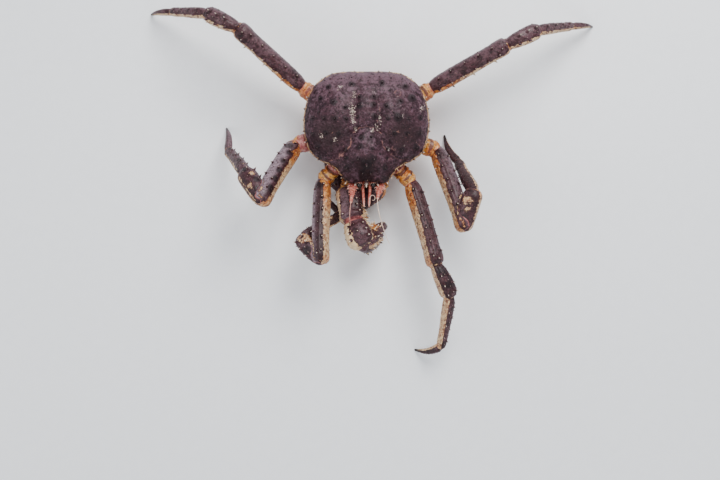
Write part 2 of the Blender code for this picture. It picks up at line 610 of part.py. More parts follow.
def inside_plate(body, point, margin):
    """Whether a world point lies within a margin of a plate."""
    _, _, (length, _, _), matrix = body
    local = matrix.inverted() @ point
    share = local.x / length
    if not -margin / length < share < 1 + margin / length:
        return False
    thick, deep, shift, rise = plate_section(body, min(1.0, max(0.0, share)))
    return math.hypot((local.y - shift) / (thick + margin), (local.z - rise) / (deep + margin)) < 1


def plate_spines(rows, body, neighbours, finish, root):
    """The spines of a plate, none of them where a neighbour would bury it."""
    _, side, (length, _, _), matrix = body
    made = []
    for degrees, first, last, count, spine_length in rows:
        for k in range(count):
            share = first + (last - first) * k / max(1, count - 1)
            share += random.uniform(-0.015, 0.015) if count > 1 else 0.0
            angle = math.radians(degrees + random.uniform(-5, 5))
            thick, deep, shift, rise = plate_section(body, share)
            across, up = section_point(angle, thick, deep)
            foot = Vector((share * length, side * across + shift, up + rise))
            out = Vector((LIMB_SPINE_LEAN, side * math.cos(angle), math.sin(angle)))
            tall = spine_length * random.uniform(0.85, 1.15)
            ends = (matrix @ foot, matrix @ (foot + out.normalized() * tall))
            if any(inside_plate(other, point, SPINE_CLEARANCE)
                   for other in neighbours for point in ends):
                continue
            made.append(new_spine(foot, out, tall, LIMB_SPINE_SLENDERNESS, matrix, finish, root))
    return made


def direction(side, heading, pitch):
    """Unit vector from a plan heading and a pitch, in degrees, on one side of the body."""
    h, p = math.radians(heading), math.radians(pitch)
    return Vector((side * math.sin(h) * math.cos(p), -math.cos(h) * math.cos(p), math.sin(p)))


def frame_at(origin, along, back):
    """Matrix of a plate's frame: +X along it, +Z as near to back as that allows."""
    x = along.normalized()
    z = (back - x * back.dot(x)).normalized()
    y = z.cross(x)
    return Matrix(((x.x, y.x, z.x, origin.x), (x.y, y.y, z.y, origin.y),
                   (x.z, y.z, z.z, origin.z), (0, 0, 0, 1)))


def limb_frames(side, coxa_root, coxa_end, turns, lengths, roll):
    """Frames and lengths of a limb's plates from its root out; its back turns as it bends."""
    start = Vector((side * coxa_root[0], coxa_root[1], coxa_root[2]))
    joint = Vector((side * coxa_end[0], coxa_end[1], coxa_end[2]))
    frames = [(frame_at(start, joint - start, Vector((0, 0, 1))), (joint - start).length)]
    tilt = math.radians(roll)
    back = Vector((side * math.sin(tilt), 0, math.cos(tilt)))
    way = direction(side, *turns[0])
    for turn, length in zip(turns, lengths):
        new_way = direction(side, *turn)
        back = way.rotation_difference(new_way) @ back
        way = new_way
        frames.append((frame_at(joint, way, back), length))
        joint = joint + way * length
    return frames


def build_limb(name, side, kinds, frames, sizes, rows, root):
    """Builds a limb's plates with their spines, and cuts each one's socket for the next."""
    bodies = [(kind, side, (length, *sizes[kind][1:]), matrix)
              for kind, (matrix, length) in zip(kinds, frames)]
    made = []
    for k, body in enumerate(bodies):
        kind = body[0]
        finish = PALE_SHELL if kind == "coxa" else LEG_SHELL
        plate = plate_object(f"{name}_{kind}", body, 0.0, finish, root)
        neighbours = bodies[max(0, k - 1):k] + bodies[k + 1:k + 2]
        combine(plate, plate_spines(rows[kind], body, neighbours, finish, root), "UNION")
        made.append(plate)
    for plate, body in zip(made, bodies[1:]):
        combine(plate, [socket_cutter(body, root)], "DIFFERENCE")
    return made, bodies[0]


def socket_cutter(body, root):
    """A slightly swollen copy of a plate, which cuts the socket that it sits in."""
    return plate_object("cutter", body, SOCKET_CLEARANCE, PALE_SHELL, root)


def flatten_foot(dactyl):
    """Cuts a dactyl's point off at the floor, which leaves the small flat that it stands on."""
    work = bmesh.new()
    work.from_mesh(dactyl.data)
    inverse = dactyl.matrix_world.inverted()
    normal = (inverse.to_3x3() @ Vector((0, 0, 1))).normalized()
    geometry = work.verts[:] + work.edges[:] + work.faces[:]
    bmesh.ops.bisect_plane(work, geom=geometry, plane_co=inverse.translation, plane_no=normal,
                           clear_inner=True, dist=1e-7)
    rim = [edge for edge in work.edges if edge.is_boundary]
    bmesh.ops.edgeloop_fill(work, edges=rim)
    bmesh.ops.recalc_face_normals(work, faces=work.faces)
    work.to_mesh(dactyl.data)
    work.free()


def build_walking_leg(name, root):
    """Coxa, merus, carpus, propodus and dactyl; the dactyl slopes down to reach the floor."""
    coxa_root, coxa_end, merus, carpus, propodus, dactyl_heading, roll = WALKING_LEGS[name]
    side = 1 if name.endswith("left") else -1
    sizes = LIMB_SIZES[name.split("_")[0]]
    kinds = ("coxa", "merus", "carpus", "propodus", "dactyl")
    lengths = [sizes[kind][0] for kind in kinds[1:]]
    height = coxa_end[2]
    for (_, pitch), length in zip((merus, carpus, propodus), lengths):
        height += math.sin(math.radians(pitch)) * length
    drop = (height + FOOT_SUNK - FOOT_RADIUS) / lengths[-1]
    dactyl = (dactyl_heading, -math.degrees(math.asin(drop)))
    frames = limb_frames(side, coxa_root, coxa_end, (merus, carpus, propodus, dactyl), lengths,
                         roll)
    made, coxa = build_limb(name, side, kinds, frames, sizes, SPINE_ROWS, root)
    flatten_foot(made[-1])
    return made, coxa


def build_cheliped(name, root):
    """Coxa, merus, carpus, palm with its fixed finger, and the finger that moves in life."""
    coxa_root, coxa_end, merus, carpus, palm, roll = CHELIPEDS[name]
    side = 1 if name.endswith("left") else -1
    sizes = LIMB_SIZES[name]
    kinds = ("coxa", "merus", "carpus", "palm", "finger")
    lengths = [sizes[kind][0] for kind in kinds[1:4]]
    frames = limb_frames(side, coxa_root, coxa_end, (merus, carpus, palm), lengths, roll)
    palm_matrix, palm_length = frames[-1]
    hinge = Vector((FINGER_HINGE[0] * palm_length, side * FINGER_HINGE[1] * sizes["palm"][1], 0))
    closing = Matrix.Rotation(math.radians(side * FINGER_CLOSING), 4, "Z")
    inward = Matrix.Rotation(math.radians(side * FINGER_ROLL), 4, "X")
    frames.append((palm_matrix @ Matrix.Translation(hinge) @ closing @ inward,
                   sizes["finger"][0]))
    rows = {**CHELIPED_SPINE_ROWS, **(FOLDED_SPINE_ROWS if side > 0 else {})}
    return build_limb(name, side, kinds, frames, sizes, rows, root)


# ---------------------------------------------------------------- head parts
def path_on(side, path):
    """A head part's path on one side, where the two sides have their own or share one."""
    return path["left" if side > 0 else "right"] if isinstance(path, dict) else path


def tube_frame(path, side, share):
    """Centre, run, outward and up directions and radius of a tube at a share of its path."""
    out, back, height, radius = smooth_row(path, share)
    ahead = smooth_row(path, min(1.0, share + 0.02))
    behind = smooth_row(path, max(0.0, share - 0.02))
    run = Vector((side * (ahead[0] - behind[0]), ahead[1] - behind[1],
                  ahead[2] - behind[2])).normalized()
    up = run.cross(Vector((1, 0, 0))).normalized()
    return Vector((side * out, back, height)), run, side * up.cross(run), up, radius


def tube_object(name, path, side, sides, swell, finish, root):
    """A tube with a ring at each row of its path and rounded ends."""
    rings = []
    for share, *_ in path:
        centre, run, outward, up, radius = tube_frame(path, side, share)
        reach = radius + swell
        ring = []
        for i in range(sides):
            turn = math.tau * i / sides
            ring.append(centre + (outward * math.cos(turn) + up * math.sin(turn)) * reach)
        rings.append(ring)
    centre, run, _, _, radius = tube_frame(path, side, 0.0)
    start = centre - run * (TUBE_END * radius + swell)
    centre, run, _, _, radius = tube_frame(path, side, 1.0)
    end = centre + run * (TUBE_END * radius + swell)
    mesh = closed_mesh(name, rings, start, end)
    return new_object(name, mesh, Matrix.Identity(4), finish, root)


def antenna_spines(side, root):
    """The spines on the stout base of an antenna."""
    made = []
    for share, degrees, length in ANTENNA_SPINES:
        centre, run, outward, up, radius = tube_frame(path_on(side, ANTENNA_PATHS), side, share)
        angle = math.radians(degrees)
        out = outward * math.cos(angle) + up * math.sin(angle)
        made.append(new_spine(centre + out * radius, out + run * 0.6, length,
                              LIMB_SPINE_SLENDERNESS, Matrix.Identity(4), RED_FEELER, root))
    return made


def build_head_parts(root):
    """Eyes, antennae, antennules and outer mouth legs, a pair of each."""
    made = []
    for side, word in ((1, "left"), (-1, "right")):
        for kind, path, sides, finish in HEAD_PARTS:
            made.append(tube_object(f"{kind}_{word}", path_on(side, path), side, sides, 0.0,
                                    finish, root))
            if kind == "antenna":
                combine(made[-1], antenna_spines(side, root), "UNION")
    return made


def head_cutters(root):
    """Slightly swollen copies of the head parts, which cut their sockets."""
    return [tube_object("cutter", path_on(side, path), side, sides, SOCKET_CLEARANCE, finish, root)
            for side in (1, -1) for _, path, sides, finish in HEAD_PARTS]


# ---------------------------------------------------------------- the whole crab
def set_on_floor(root, things):
    """Moves the crab so that its bounding box is centred over the origin, on the floor."""
    points = [thing.matrix_world @ vert.co for thing in things for vert in thing.data.vertices]
    low = Vector(min(point[k] for point in points) for k in range(3))
    high = Vector(max(point[k] for point in points) for k in range(3))
    root.location = (-(low.x + high.x) / 2, -(low.y + high.y) / 2, -low.z)


def main():
    """Builds every plate, cuts the sockets, and sets the crab on the floor."""
    clear_scene()
    random.seed(SEED)
    root = bpy.data.objects.new("crab", None)
    bpy.context.scene.collection.objects.link(root)

    carapace = build_carapace(root)
    thorax = build_thorax(root)
    abdomen = abdomen_object("abdomen", 0.0, root)
    plates, coxae = build_head_parts(root), []
    for name in WALKING_LEGS:
        made, coxa = build_walking_leg(name, root)
        plates += made
        coxae.append(coxa)
    for name in CHELIPEDS:
        made, coxa = build_cheliped(name, root)
        plates += made
        coxae.append(coxa)

    for shell in (thorax, carapace):
        combine(shell, [socket_cutter(coxa, root) for coxa in coxae], "DIFFERENCE")
        combine(shell, head_cutters(root), "DIFFERENCE")
    combine(thorax, [abdomen_object("cutter", SOCKET_CLEARANCE, root)], "DIFFERENCE")

    everything = [carapace, thorax, abdomen, *plates]
    for thing in everything:
        thing.data.shade_smooth()
        thing.data.set_sharp_from_angle(angle=SHARP_ANGLE)
    set_on_floor(root, everything)


main()
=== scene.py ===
"""Looks of the red king crab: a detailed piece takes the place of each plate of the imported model.

Metres, +Z up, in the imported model's frame.  The crab faces -Y, so its own left side is +X.
Sizes are those of the model: shares run along a plate from its root to its tip, and angles
round it start on the side away from the body, with 90 degrees on its back.
"""
import math
import random

import bpy
import numpy as np
from mathutils import Matrix, Vector, noise


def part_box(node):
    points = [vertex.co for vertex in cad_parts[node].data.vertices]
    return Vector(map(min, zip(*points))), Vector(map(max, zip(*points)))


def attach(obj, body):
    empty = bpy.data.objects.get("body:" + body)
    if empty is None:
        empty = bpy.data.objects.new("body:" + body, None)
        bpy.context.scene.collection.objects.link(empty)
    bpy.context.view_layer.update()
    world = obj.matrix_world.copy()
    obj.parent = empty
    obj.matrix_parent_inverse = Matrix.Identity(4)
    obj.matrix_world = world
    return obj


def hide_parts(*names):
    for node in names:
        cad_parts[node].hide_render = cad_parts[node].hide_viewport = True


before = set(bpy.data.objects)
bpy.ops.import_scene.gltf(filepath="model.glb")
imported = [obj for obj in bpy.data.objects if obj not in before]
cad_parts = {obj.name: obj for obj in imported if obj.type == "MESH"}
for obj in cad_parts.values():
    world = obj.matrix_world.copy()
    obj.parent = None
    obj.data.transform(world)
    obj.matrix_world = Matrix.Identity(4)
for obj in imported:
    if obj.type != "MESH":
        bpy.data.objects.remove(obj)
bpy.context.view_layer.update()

# ---------------------------------------------------------------- body
HALF_WIDTH = 0.1125
RIM_HEIGHT = 0.084
DOME_RISE = 0.047
DOME_POWER = (2.5, 0.55)
SPLIT_HEIGHT = 0.0775
BELLY_HEIGHT = 0.038
GAP = 0.0003
SEED = 7
CARAPACE_OUTLINE = (
    (0.0, 0.905), (0.3, 0.903), (0.55, 0.87), (0.78, 0.73), (0.905, 0.55), (0.968, 0.35), (1.0, 0.04),
    (0.96, -0.2), (0.88, -0.385), (0.74, -0.5), (0.58, -0.575), (0.47, -0.66), (0.39, -0.765),
    (0.29, -0.855), (0.13, -0.85), (0.0, -0.83),
)
# Outward, backward, half lengths across and along in half widths, then the rise.
SWELLINGS = (
    (0.0, -0.42, 0.2, 0.27, 0.0125), (0.0, 0.27, 0.15, 0.24, 0.006), (0.52, 0.22, 0.24, 0.34, 0.0085),
    (0.3, -0.56, 0.1, 0.14, 0.003),
)
# Ends and half width in half widths, then the depth.
GROOVES = (
    (0.0, -0.03, 0.17, -0.06, 0.045, 0.0045), (0.17, -0.06, 0.36, -0.4, 0.055, 0.006),
    (0.36, -0.4, 0.52, -0.52, 0.05, 0.004), (0.15, 0.5, 0.21, -0.04, 0.045, 0.004),
)
GROOVE_SOFTNESS = (1.35, 0.72)       # how much wider and shallower they are on this surface
# Fine furrows, which carry the pale line round the gastric region: ends in half widths, depth.
FURROWS = (
    (0.0, -0.005, 0.1, -0.015, 0.0005), (0.1, -0.015, 0.2, -0.09, 0.0006),
    (0.2, -0.09, 0.245, -0.2, 0.0006), (0.245, -0.2, 0.26, -0.31, 0.0006),
    (0.26, -0.31, 0.38, -0.43, 0.0006), (0.38, -0.43, 0.56, -0.53, 0.0005),
    (0.11, 0.54, 0.18, 0.42, 0.0004), (0.18, 0.42, 0.2, 0.18, 0.0004), (0.2, 0.18, 0.17, -0.03, 0.0005),
    (0.28, -0.04, 0.62, -0.12, 0.0004), (0.62, -0.12, 0.84, -0.28, 0.0004),
)
FURROW_WIDTH = 0.015
# Start and end of a row of spines on each half of the carapace, how many, and length.
CARAPACE_SPINE_ROWS = (
    ((0.095, 0.46), (0.095, 0.46), 1, 0.007), ((0.095, 0.31), (0.095, 0.31), 1, 0.007),
    ((0.12, 0.14), (0.12, 0.14), 1, 0.006), ((0.075, -0.18), (0.11, -0.5), 3, 0.0075),
    ((0.31, -0.36), (0.29, -0.62), 3, 0.006), ((0.24, 0.66), (0.59, 0.62), 2, 0.0075),
    ((0.32, 0.3), (0.71, 0.44), 3, 0.0075), ((0.32, 0.1), (0.82, 0.14), 4, 0.007),
    ((0.42, -0.12), (0.84, -0.1), 3, 0.0065), ((0.54, -0.36), (0.76, -0.32), 2, 0.006),
)
# Smaller spines between them, which only this script has.
SMALL_SPINE_ROWS = (
    ((0.4, 0.78), (0.66, 0.7), 2, 0.0036), ((0.08, 0.74), (0.2, 0.78), 2, 0.0032),
    ((0.7, 0.26), (0.88, 0.34), 2, 0.0042), ((0.44, 0.46), (0.58, 0.5), 2, 0.0036),
    ((0.4, 0.2), (0.6, 0.24), 2, 0.0034), ((0.86, -0.02), (0.92, 0.1), 2, 0.004),
    ((0.36, -0.24), (0.7, -0.22), 3, 0.0036), ((0.64, -0.46), (0.44, -0.54), 2, 0.0036),
    ((0.17, -0.28), (0.21, -0.66), 4, 0.0034), ((0.03, -0.1), (0.06, -0.34), 2, 0.003),
)
# Outward and backward in half widths, height above the rim or None for the dome's surface,
# direction, length, and length over the foot's radius.
BROW_SPINES = (
    (0.17, -0.84, 0.004, (0.2, -1, 0.15), 0.0085, 2.0), (0.31, -0.82, 0.004, (0.5, -1, 0.2), 0.0085, 2.0),
    (0.055, -0.7, None, (0.25, -0.8, 1), 0.0075, 2.0), (0.0, -0.8, 0.005, (0, -1, 0.22), 0.016, 2.5),
    (0.0, -0.58, None, (0, -0.75, 1), 0.0105, 2.0),
)
SPINE_SLENDERNESS = 2.0
RIM_SPINES = 15
RIM_SPINE_ARC = (12, 153)
RIM_SPINE_LENGTH = 0.0055
TAIL_MARGIN = (60, 0.6)
RIM_SPINE_LIFT = 0.45
THORAX_RINGS = (
    (0.0, 0.955, SPLIT_HEIGHT - GAP), (0.2, 0.935, 0.07), (0.4, 0.86, 0.058), (0.6, 0.72, 0.046),
    (0.8, 0.58, 0.0395), (1.0, 0.46, BELLY_HEIGHT),
)
ABDOMEN_PATH = (
    (0.0, 0.085, 0.069, 0.04, 0.0055), (0.2, 0.081, 0.05, 0.052, 0.006),
    (0.4, 0.06, 0.0375, 0.056, 0.006), (0.65, 0.025, 0.0335, 0.046, 0.0055),
    (0.85, -0.008, 0.033, 0.03, 0.0048), (1.0, -0.03, 0.0335, 0.013, 0.004),
)
ABDOMEN_PLATES = 6
ABDOMEN_STEP = 0.001
ABDOMEN_SAG = 0.003
ABDOMEN_POWER = 3.0

# ---------------------------------------------------------------- limbs
# Root and end of the coxa, (heading, pitch) of the merus, carpus and propodus, heading of the
# dactyl, and the roll of the limb's back outwards.
WALKING_LEGS = {
    "leg2_left": ((0.046, -0.056, 0.058), (0.08, -0.094, 0.064), (16, 12), (25, -8), (-8, -21), -76, 26),
    "leg2_right": (
        (0.046, -0.056, 0.058), (0.078, -0.091, 0.064), (1, 24), (138, -34), (-122, -36), 138, 20,
    ),
    "leg3_left": (
        (0.058, -0.014, 0.058), (0.127, -0.036, 0.063), (18, 20), (168, 8), (198, -55), 203, 20,
    ),
    "leg3_right": (
        (0.058, -0.014, 0.058), (0.127, -0.026, 0.063), (27, 42), (149, -28), (138, -55), 168, 20,
    ),
    "leg4_left": (
        (0.054, 0.034, 0.058), (0.116, 0.074, 0.066), (118, 21), (116, -8), (106, -41), 100, 12,
    ),
    "leg4_right": (
        (0.054, 0.034, 0.058), (0.115, 0.076, 0.066), (131, 22), (117, -9), (103, -41), 97, 12,
    ),
}
CHELIPEDS = {
    "cheliped_right": (
        (0.028, -0.074, 0.056), (0.033, -0.106, 0.055), (-10, 26), (-20, 20), (-130, -58), 10,
    ),
    "cheliped_left": (
        (0.028, -0.074, 0.056), (0.027, -0.102, 0.05), (-55, -29), (-128, -2), (-165, 0), 10,
    ),
}
# Length, half thickness and half depth of each plate; a coxa's length is between its ends.
LIMB_SIZES = {
    "leg2": {
        "coxa": (None, 0.015, 0.015), "merus": (0.157, 0.0146, 0.017), "carpus": (0.062, 0.014, 0.016),
        "propodus": (0.102, 0.0092, 0.0112), "dactyl": (0.068, 0.0062, 0.0078),
    },
    "leg3": {
        "coxa": (None, 0.0158, 0.0155), "merus": (0.158, 0.0152, 0.0176),
        "carpus": (0.066, 0.0144, 0.0166), "propodus": (0.104, 0.0096, 0.0116),
        "dactyl": (0.07, 0.0064, 0.008),
    },
    "leg4": {
        "coxa": (None, 0.0155, 0.0155), "merus": (0.156, 0.0155, 0.0182),
        "carpus": (0.062, 0.0142, 0.0165), "propodus": (0.1, 0.0094, 0.0114),
        "dactyl": (0.068, 0.0062, 0.0078),
    },
    "cheliped_right": {
        "coxa": (None, 0.015, 0.014), "merus": (0.064, 0.0232, 0.0205), "carpus": (0.05, 0.0232, 0.021),
        "palm": (0.102, 0.025, 0.018), "finger": (0.055, 0.01, 0.0088),
    },
    "cheliped_left": {
        "coxa": (None, 0.014, 0.013), "merus": (0.058, 0.0175, 0.017), "carpus": (0.042, 0.0175, 0.0165),
        "palm": (0.086, 0.018, 0.014), "finger": (0.048, 0.0076, 0.007),
    },
}
# Share of a plate's length, half thickness, half depth, lift in half depths.
PROFILES = {
    "coxa": ((0.0, 0.86, 0.82, 0.0), (0.25, 1.0, 0.98, 0.0), (0.62, 0.92, 0.92, 0.0),
             (0.74, 1.0, 1.02, 0.0), (0.92, 0.98, 1.0, 0.0), (1.0, 0.8, 0.8, 0.0)),
    "merus": ((0.0, 0.64, 0.6, 0.0), (0.06, 0.88, 0.86, 0.0), (0.18, 1.0, 0.98, 0.03),
              (0.5, 1.0, 1.0, 0.06), (0.8, 0.97, 0.98, 0.04), (0.93, 1.04, 1.05, 0.02),
              (0.98, 0.97, 0.98, 0.0), (1.0, 0.8, 0.8, 0.0)),
    "carpus": ((0.0, 0.6, 0.56, 0.0), (0.13, 0.82, 0.8, 0.05), (0.42, 1.0, 1.0, 0.12),
               (0.75, 1.06, 1.06, 0.06), (0.91, 1.0, 1.0, 0.0), (1.0, 0.8, 0.8, 0.0)),
    "propodus": ((0.0, 0.7, 0.66, 0.0), (0.1, 1.0, 0.98, 0.0), (0.35, 1.02, 1.0, 0.06),
                 (0.7, 0.88, 0.84, 0.06), (0.93, 0.84, 0.82, 0.0), (1.0, 0.66, 0.66, 0.0)),
    "dactyl": ((0.0, 0.74, 0.7, 0.0), (0.1, 1.0, 1.0, 0.02), (0.32, 0.92, 0.9, 0.16),
               (0.62, 0.66, 0.66, 0.2), (0.86, 0.38, 0.38, 0.1), (1.0, 0.24, 0.24, 0.0)),
    "palm": ((0.0, 0.5, 0.62, 0.0), (0.1, 0.78, 0.9, 0.0), (0.28, 1.0, 1.0, 0.0),
             (0.48, 0.96, 0.98, 0.0), (0.6, 0.58, 0.74, -0.05), (0.8, 0.38, 0.54, -0.08),
             (1.0, 0.15, 0.22, -0.05)),
    "finger": ((0.0, 0.82, 0.8, 0.0), (0.14, 1.0, 1.0, 0.06), (0.45, 0.86, 0.84, 0.16),
               (0.75, 0.6, 0.6, 0.12), (1.0, 0.22, 0.24, 0.0)),
}
BOWS = {"merus": 0.012, "dactyl": 0.05, "finger": 0.04}
PALM_LEAN = ((0.0, 0.0), (0.28, 0.0), (0.48, 0.06), (0.62, 0.4), (0.82, 0.42), (1.0, 0.2))
FINGER_HINGE = (0.5, -0.5)
FINGER_CLOSING = 13
FINGER_ROLL = 62
# Angle, first and last share, how many, and length.
SPINE_ROWS = {
    "coxa": ((95, 0.93, 0.93, 1, 0.0045),),
    "merus": ((62, 0.16, 0.86, 5, 0.006), (118, 0.1, 0.9, 6, 0.0065),
              (178, 0.24, 0.8, 3, 0.0045), (90, 0.95, 0.95, 1, 0.007)),
    "carpus": ((70, 0.34, 0.86, 3, 0.007), (122, 0.28, 0.88, 3, 0.0065)),
    "propodus": ((72, 0.16, 0.84, 4, 0.0045), (120, 0.24, 0.76, 3, 0.0045)),
    "dactyl": (),
}
CHELIPED_SPINE_ROWS = {
    "coxa": (),
    "merus": ((62, 0.52, 0.88, 2, 0.0065), (125, 0.5, 0.88, 3, 0.007)),
    "carpus": ((60, 0.34, 0.84, 3, 0.0075), (125, 0.34, 0.84, 3, 0.0075), (90, 0.6, 0.6, 1, 0.007)),
    "palm": ((40, 0.14, 0.5, 3, 0.0065), (90, 0.12, 0.44, 3, 0.006), (140, 0.16, 0.62, 4, 0.0065)),
    "finger": ((110, 0.2, 0.44, 2, 0.0045),),
}
# The left claw is folded in under the right one, where there is room for fewer of them.
FOLDED_SPINE_ROWS = {
    "merus": ((62, 0.52, 0.8, 2, 0.0065),),
    "carpus": ((60, 0.34, 0.34, 1, 0.0065), (90, 0.52, 0.52, 1, 0.0055)),
}
# Smaller spines between the rows: angle, first and last share, how many, and length.
FINE_ROWS = {
    "coxa": ((60, 0.5, 0.92, 4, 0.0016), (110, 0.46, 0.9, 4, 0.0018), (150, 0.52, 0.9, 3, 0.0016)),
    "merus": (
        (20, 0.12, 0.88, 9, 0.0022), (90, 0.14, 0.9, 8, 0.0026), (148, 0.12, 0.88, 9, 0.0024),
        (205, 0.15, 0.85, 7, 0.0018),
    ),
    "carpus": ((25, 0.22, 0.86, 4, 0.0026), (95, 0.3, 0.84, 4, 0.003), (155, 0.25, 0.86, 4, 0.0026)),
    "propodus": ((40, 0.12, 0.88, 7, 0.002), (96, 0.12, 0.9, 8, 0.0022), (150, 0.15, 0.85, 6, 0.0018)),
    "dactyl": ((70, 0.1, 0.5, 5, 0.0014), (110, 0.12, 0.55, 5, 0.0014)),
    "palm": (
        (15, 0.14, 0.6, 6, 0.0028), (65, 0.12, 0.62, 6, 0.0028), (115, 0.12, 0.62, 6, 0.0028),
        (165, 0.16, 0.44, 4, 0.0028),
    ),
    "finger": ((80, 0.14, 0.6, 5, 0.002), (135, 0.14, 0.55, 4, 0.002)),
}
LIMB_SPINE_SLENDERNESS = 2.2
LIMB_SPINE_LEAN = 0.35
PALE_SPINE = 0.004                  # length from which the spines that it adds are pale
# How pale the spine tips of some limbs are; the pale tips are partly a painted highlight.
SPINE_TIPS = {"leg2_right": 1.0, "cheliped_right": 1.0, "leg2_left": 0.85}
SPINE_CLEARANCE = 0.003
SECTION_POWER = 2.5
KNUCKLE_DEPTH = 0.55
END_DEPTH = 0.34
FOOT_RADIUS = 0.0016
FOOT_SUNK = 0.0009

# ---------------------------------------------------------------- head parts
# Share, outward, backward, height, radius, on the left side.
EYE_PATH = (
    (0.0, 0.01, -0.086, 0.0817, 0.0026), (0.35, 0.0115, -0.0935, 0.0826, 0.003),
    (0.5, 0.012, -0.0965, 0.083, 0.0042), (0.72, 0.0125, -0.0995, 0.0835, 0.0047),
    (0.9, 0.013, -0.1018, 0.0839, 0.0036), (1.0, 0.0132, -0.1028, 0.0841, 0.0016),
)
ANTENNA_BASE = (
    (0.0, 0.0215, -0.08, 0.0745, 0.0058), (0.08, 0.023, -0.0925, 0.0772, 0.0062),
    (0.12, 0.0234, -0.0982, 0.0798, 0.0047), (0.15, 0.0236, -0.103, 0.0827, 0.0054),
)
# The left whip bends outwards; of the right one only a stump shows in the photo.
ANTENNA_PATHS = {
    "left": (
        *ANTENNA_BASE, (0.21, 0.0226, -0.1105, 0.0885, 0.0042), (0.235, 0.022, -0.1135, 0.0912, 0.0046),
        (0.31, 0.0202, -0.1205, 0.098, 0.003), (0.345, 0.0194, -0.1245, 0.101, 0.0026),
        (0.36, 0.0192, -0.1265, 0.1025, 0.0012), (0.48, 0.0203, -0.142, 0.109, 0.0011),
        (0.6, 0.0235, -0.157, 0.113, 0.001), (0.8, 0.031, -0.183, 0.1125, 0.0008),
        (1.0, 0.04, -0.205, 0.104, 0.0005),
    ),
    "right": (
        *ANTENNA_BASE, (0.21, 0.0246, -0.111, 0.0885, 0.0042), (0.235, 0.0252, -0.1145, 0.0912, 0.0046),
        (0.31, 0.0268, -0.125, 0.0995, 0.003), (0.345, 0.0275, -0.131, 0.1035, 0.0026),
        (0.36, 0.0278, -0.133, 0.105, 0.0012), (0.48, 0.0288, -0.142, 0.1095, 0.0011),
        (0.6, 0.0294, -0.151, 0.1135, 0.001), (0.8, 0.0292, -0.162, 0.118, 0.0008),
        (1.0, 0.028, -0.173, 0.1215, 0.0005),
    ),
}
ANTENNULE_PATH = (
    (0.0, 0.0062, -0.078, 0.0735, 0.0026), (0.25, 0.0066, -0.096, 0.0765, 0.003),
    (0.5, 0.0062, -0.11, 0.0845, 0.0026), (0.75, 0.0052, -0.1235, 0.0955, 0.0025),
    (0.92, 0.0046, -0.134, 0.103, 0.002), (1.0, 0.0043, -0.1395, 0.1065, 0.0009),
)
MAXILLIPED_PATH = (
    (0.0, 0.0078, -0.058, 0.044, 0.005), (0.2, 0.008, -0.0715, 0.0425, 0.0062),
    (0.45, 0.008, -0.0835, 0.0435, 0.0058), (0.62, 0.0078, -0.089, 0.049, 0.005),
    (0.8, 0.0074, -0.0902, 0.056, 0.0042), (1.0, 0.0068, -0.0885, 0.0615, 0.0022),
)
# The curled end of the left antennule, which only this script has.
CURL_PATH = (
    (0.0, 0.0046, -0.1345, 0.1032, 0.0006), (0.15, 0.0056, -0.129, 0.1062, 0.00055),
    (0.3, 0.0062, -0.1235, 0.1075, 0.0005), (0.45, 0.009, -0.1195, 0.1075, 0.0005),
    (0.6, 0.013, -0.12, 0.1066, 0.0005), (0.75, 0.015, -0.1245, 0.1056, 0.0005),
    (0.9, 0.0125, -0.1285, 0.105, 0.0004), (1.0, 0.0098, -0.1275, 0.1046, 0.0003),
)
TUBE_END = 0.4
WHIP_PALENESS = {"left": 0.95, "right": 0.35}
WHIP_THINNING = 0.35                 # the whips are thinner here than in the solids
# Fine spines that only this script has: on an antenna's base, and on an eye's stalk.
ANTENNA_FAN = (
    (0.105, 0, 0.0075), (0.11, 40, 0.0055), (0.125, -20, 0.007), (0.135, 22, 0.0085), (0.165, 10, 0.008),
    (0.175, 140, 0.006), (0.16, 165, 0.0068), (0.12, 150, 0.0055), (0.2, 35, 0.005), (0.22, 160, 0.0038),
    (0.13, 120, 0.004), (0.11, 75, 0.004), (0.145, 182, 0.0062), (0.19, 175, 0.005), (0.215, 15, 0.0048),
    (0.26, 10, 0.003),
)
STALK_SPINES = (
    (0.1, 80, 0.0026), (0.22, 60, 0.003), (0.3, 110, 0.0028), (0.4, 85, 0.0026), (0.34, 40, 0.002),
    (0.38, 140, 0.002), (0.46, 58, 0.0044), (0.46, 122, 0.0042), (0.44, 90, 0.0048), (0.48, 20, 0.0036),
    (0.48, 160, 0.0034),
)
# Spines on the base of an antenna: share, angle with 0 outwards and 90 up, length.
ANTENNA_SPINES = (
    (0.15, 6, 0.008), (0.17, -16, 0.006), (0.18, 26, 0.006), (0.15, 60, 0.004), (0.19, 105, 0.0034),
    (0.235, 60, 0.0035), (0.24, 120, 0.003), (0.13, 85, 0.0036), (0.19, 20, 0.004), (0.2, 95, 0.003),
    (0.23, 5, 0.0038), (0.27, 40, 0.0026), (0.3, 80, 0.002), (0.14, 160, 0.004), (0.19, 150, 0.0034),
    (0.25, 170, 0.0028),
)

# What each value paints: the pale side, a spine's tip, partly a painted highlight, folds of skin,
# horn, worn patches, lighter and darker areas with a painted sheen, dark spots with painted shade
# round the spines, orange, a lilac grey that is mostly a painted wet sheen, pale seams, and fewer dots.
PAINTS = ("belly", "tip", "crease", "horn", "fleck", "tone", "spot", "warm", "lilac", "seam", "clean")


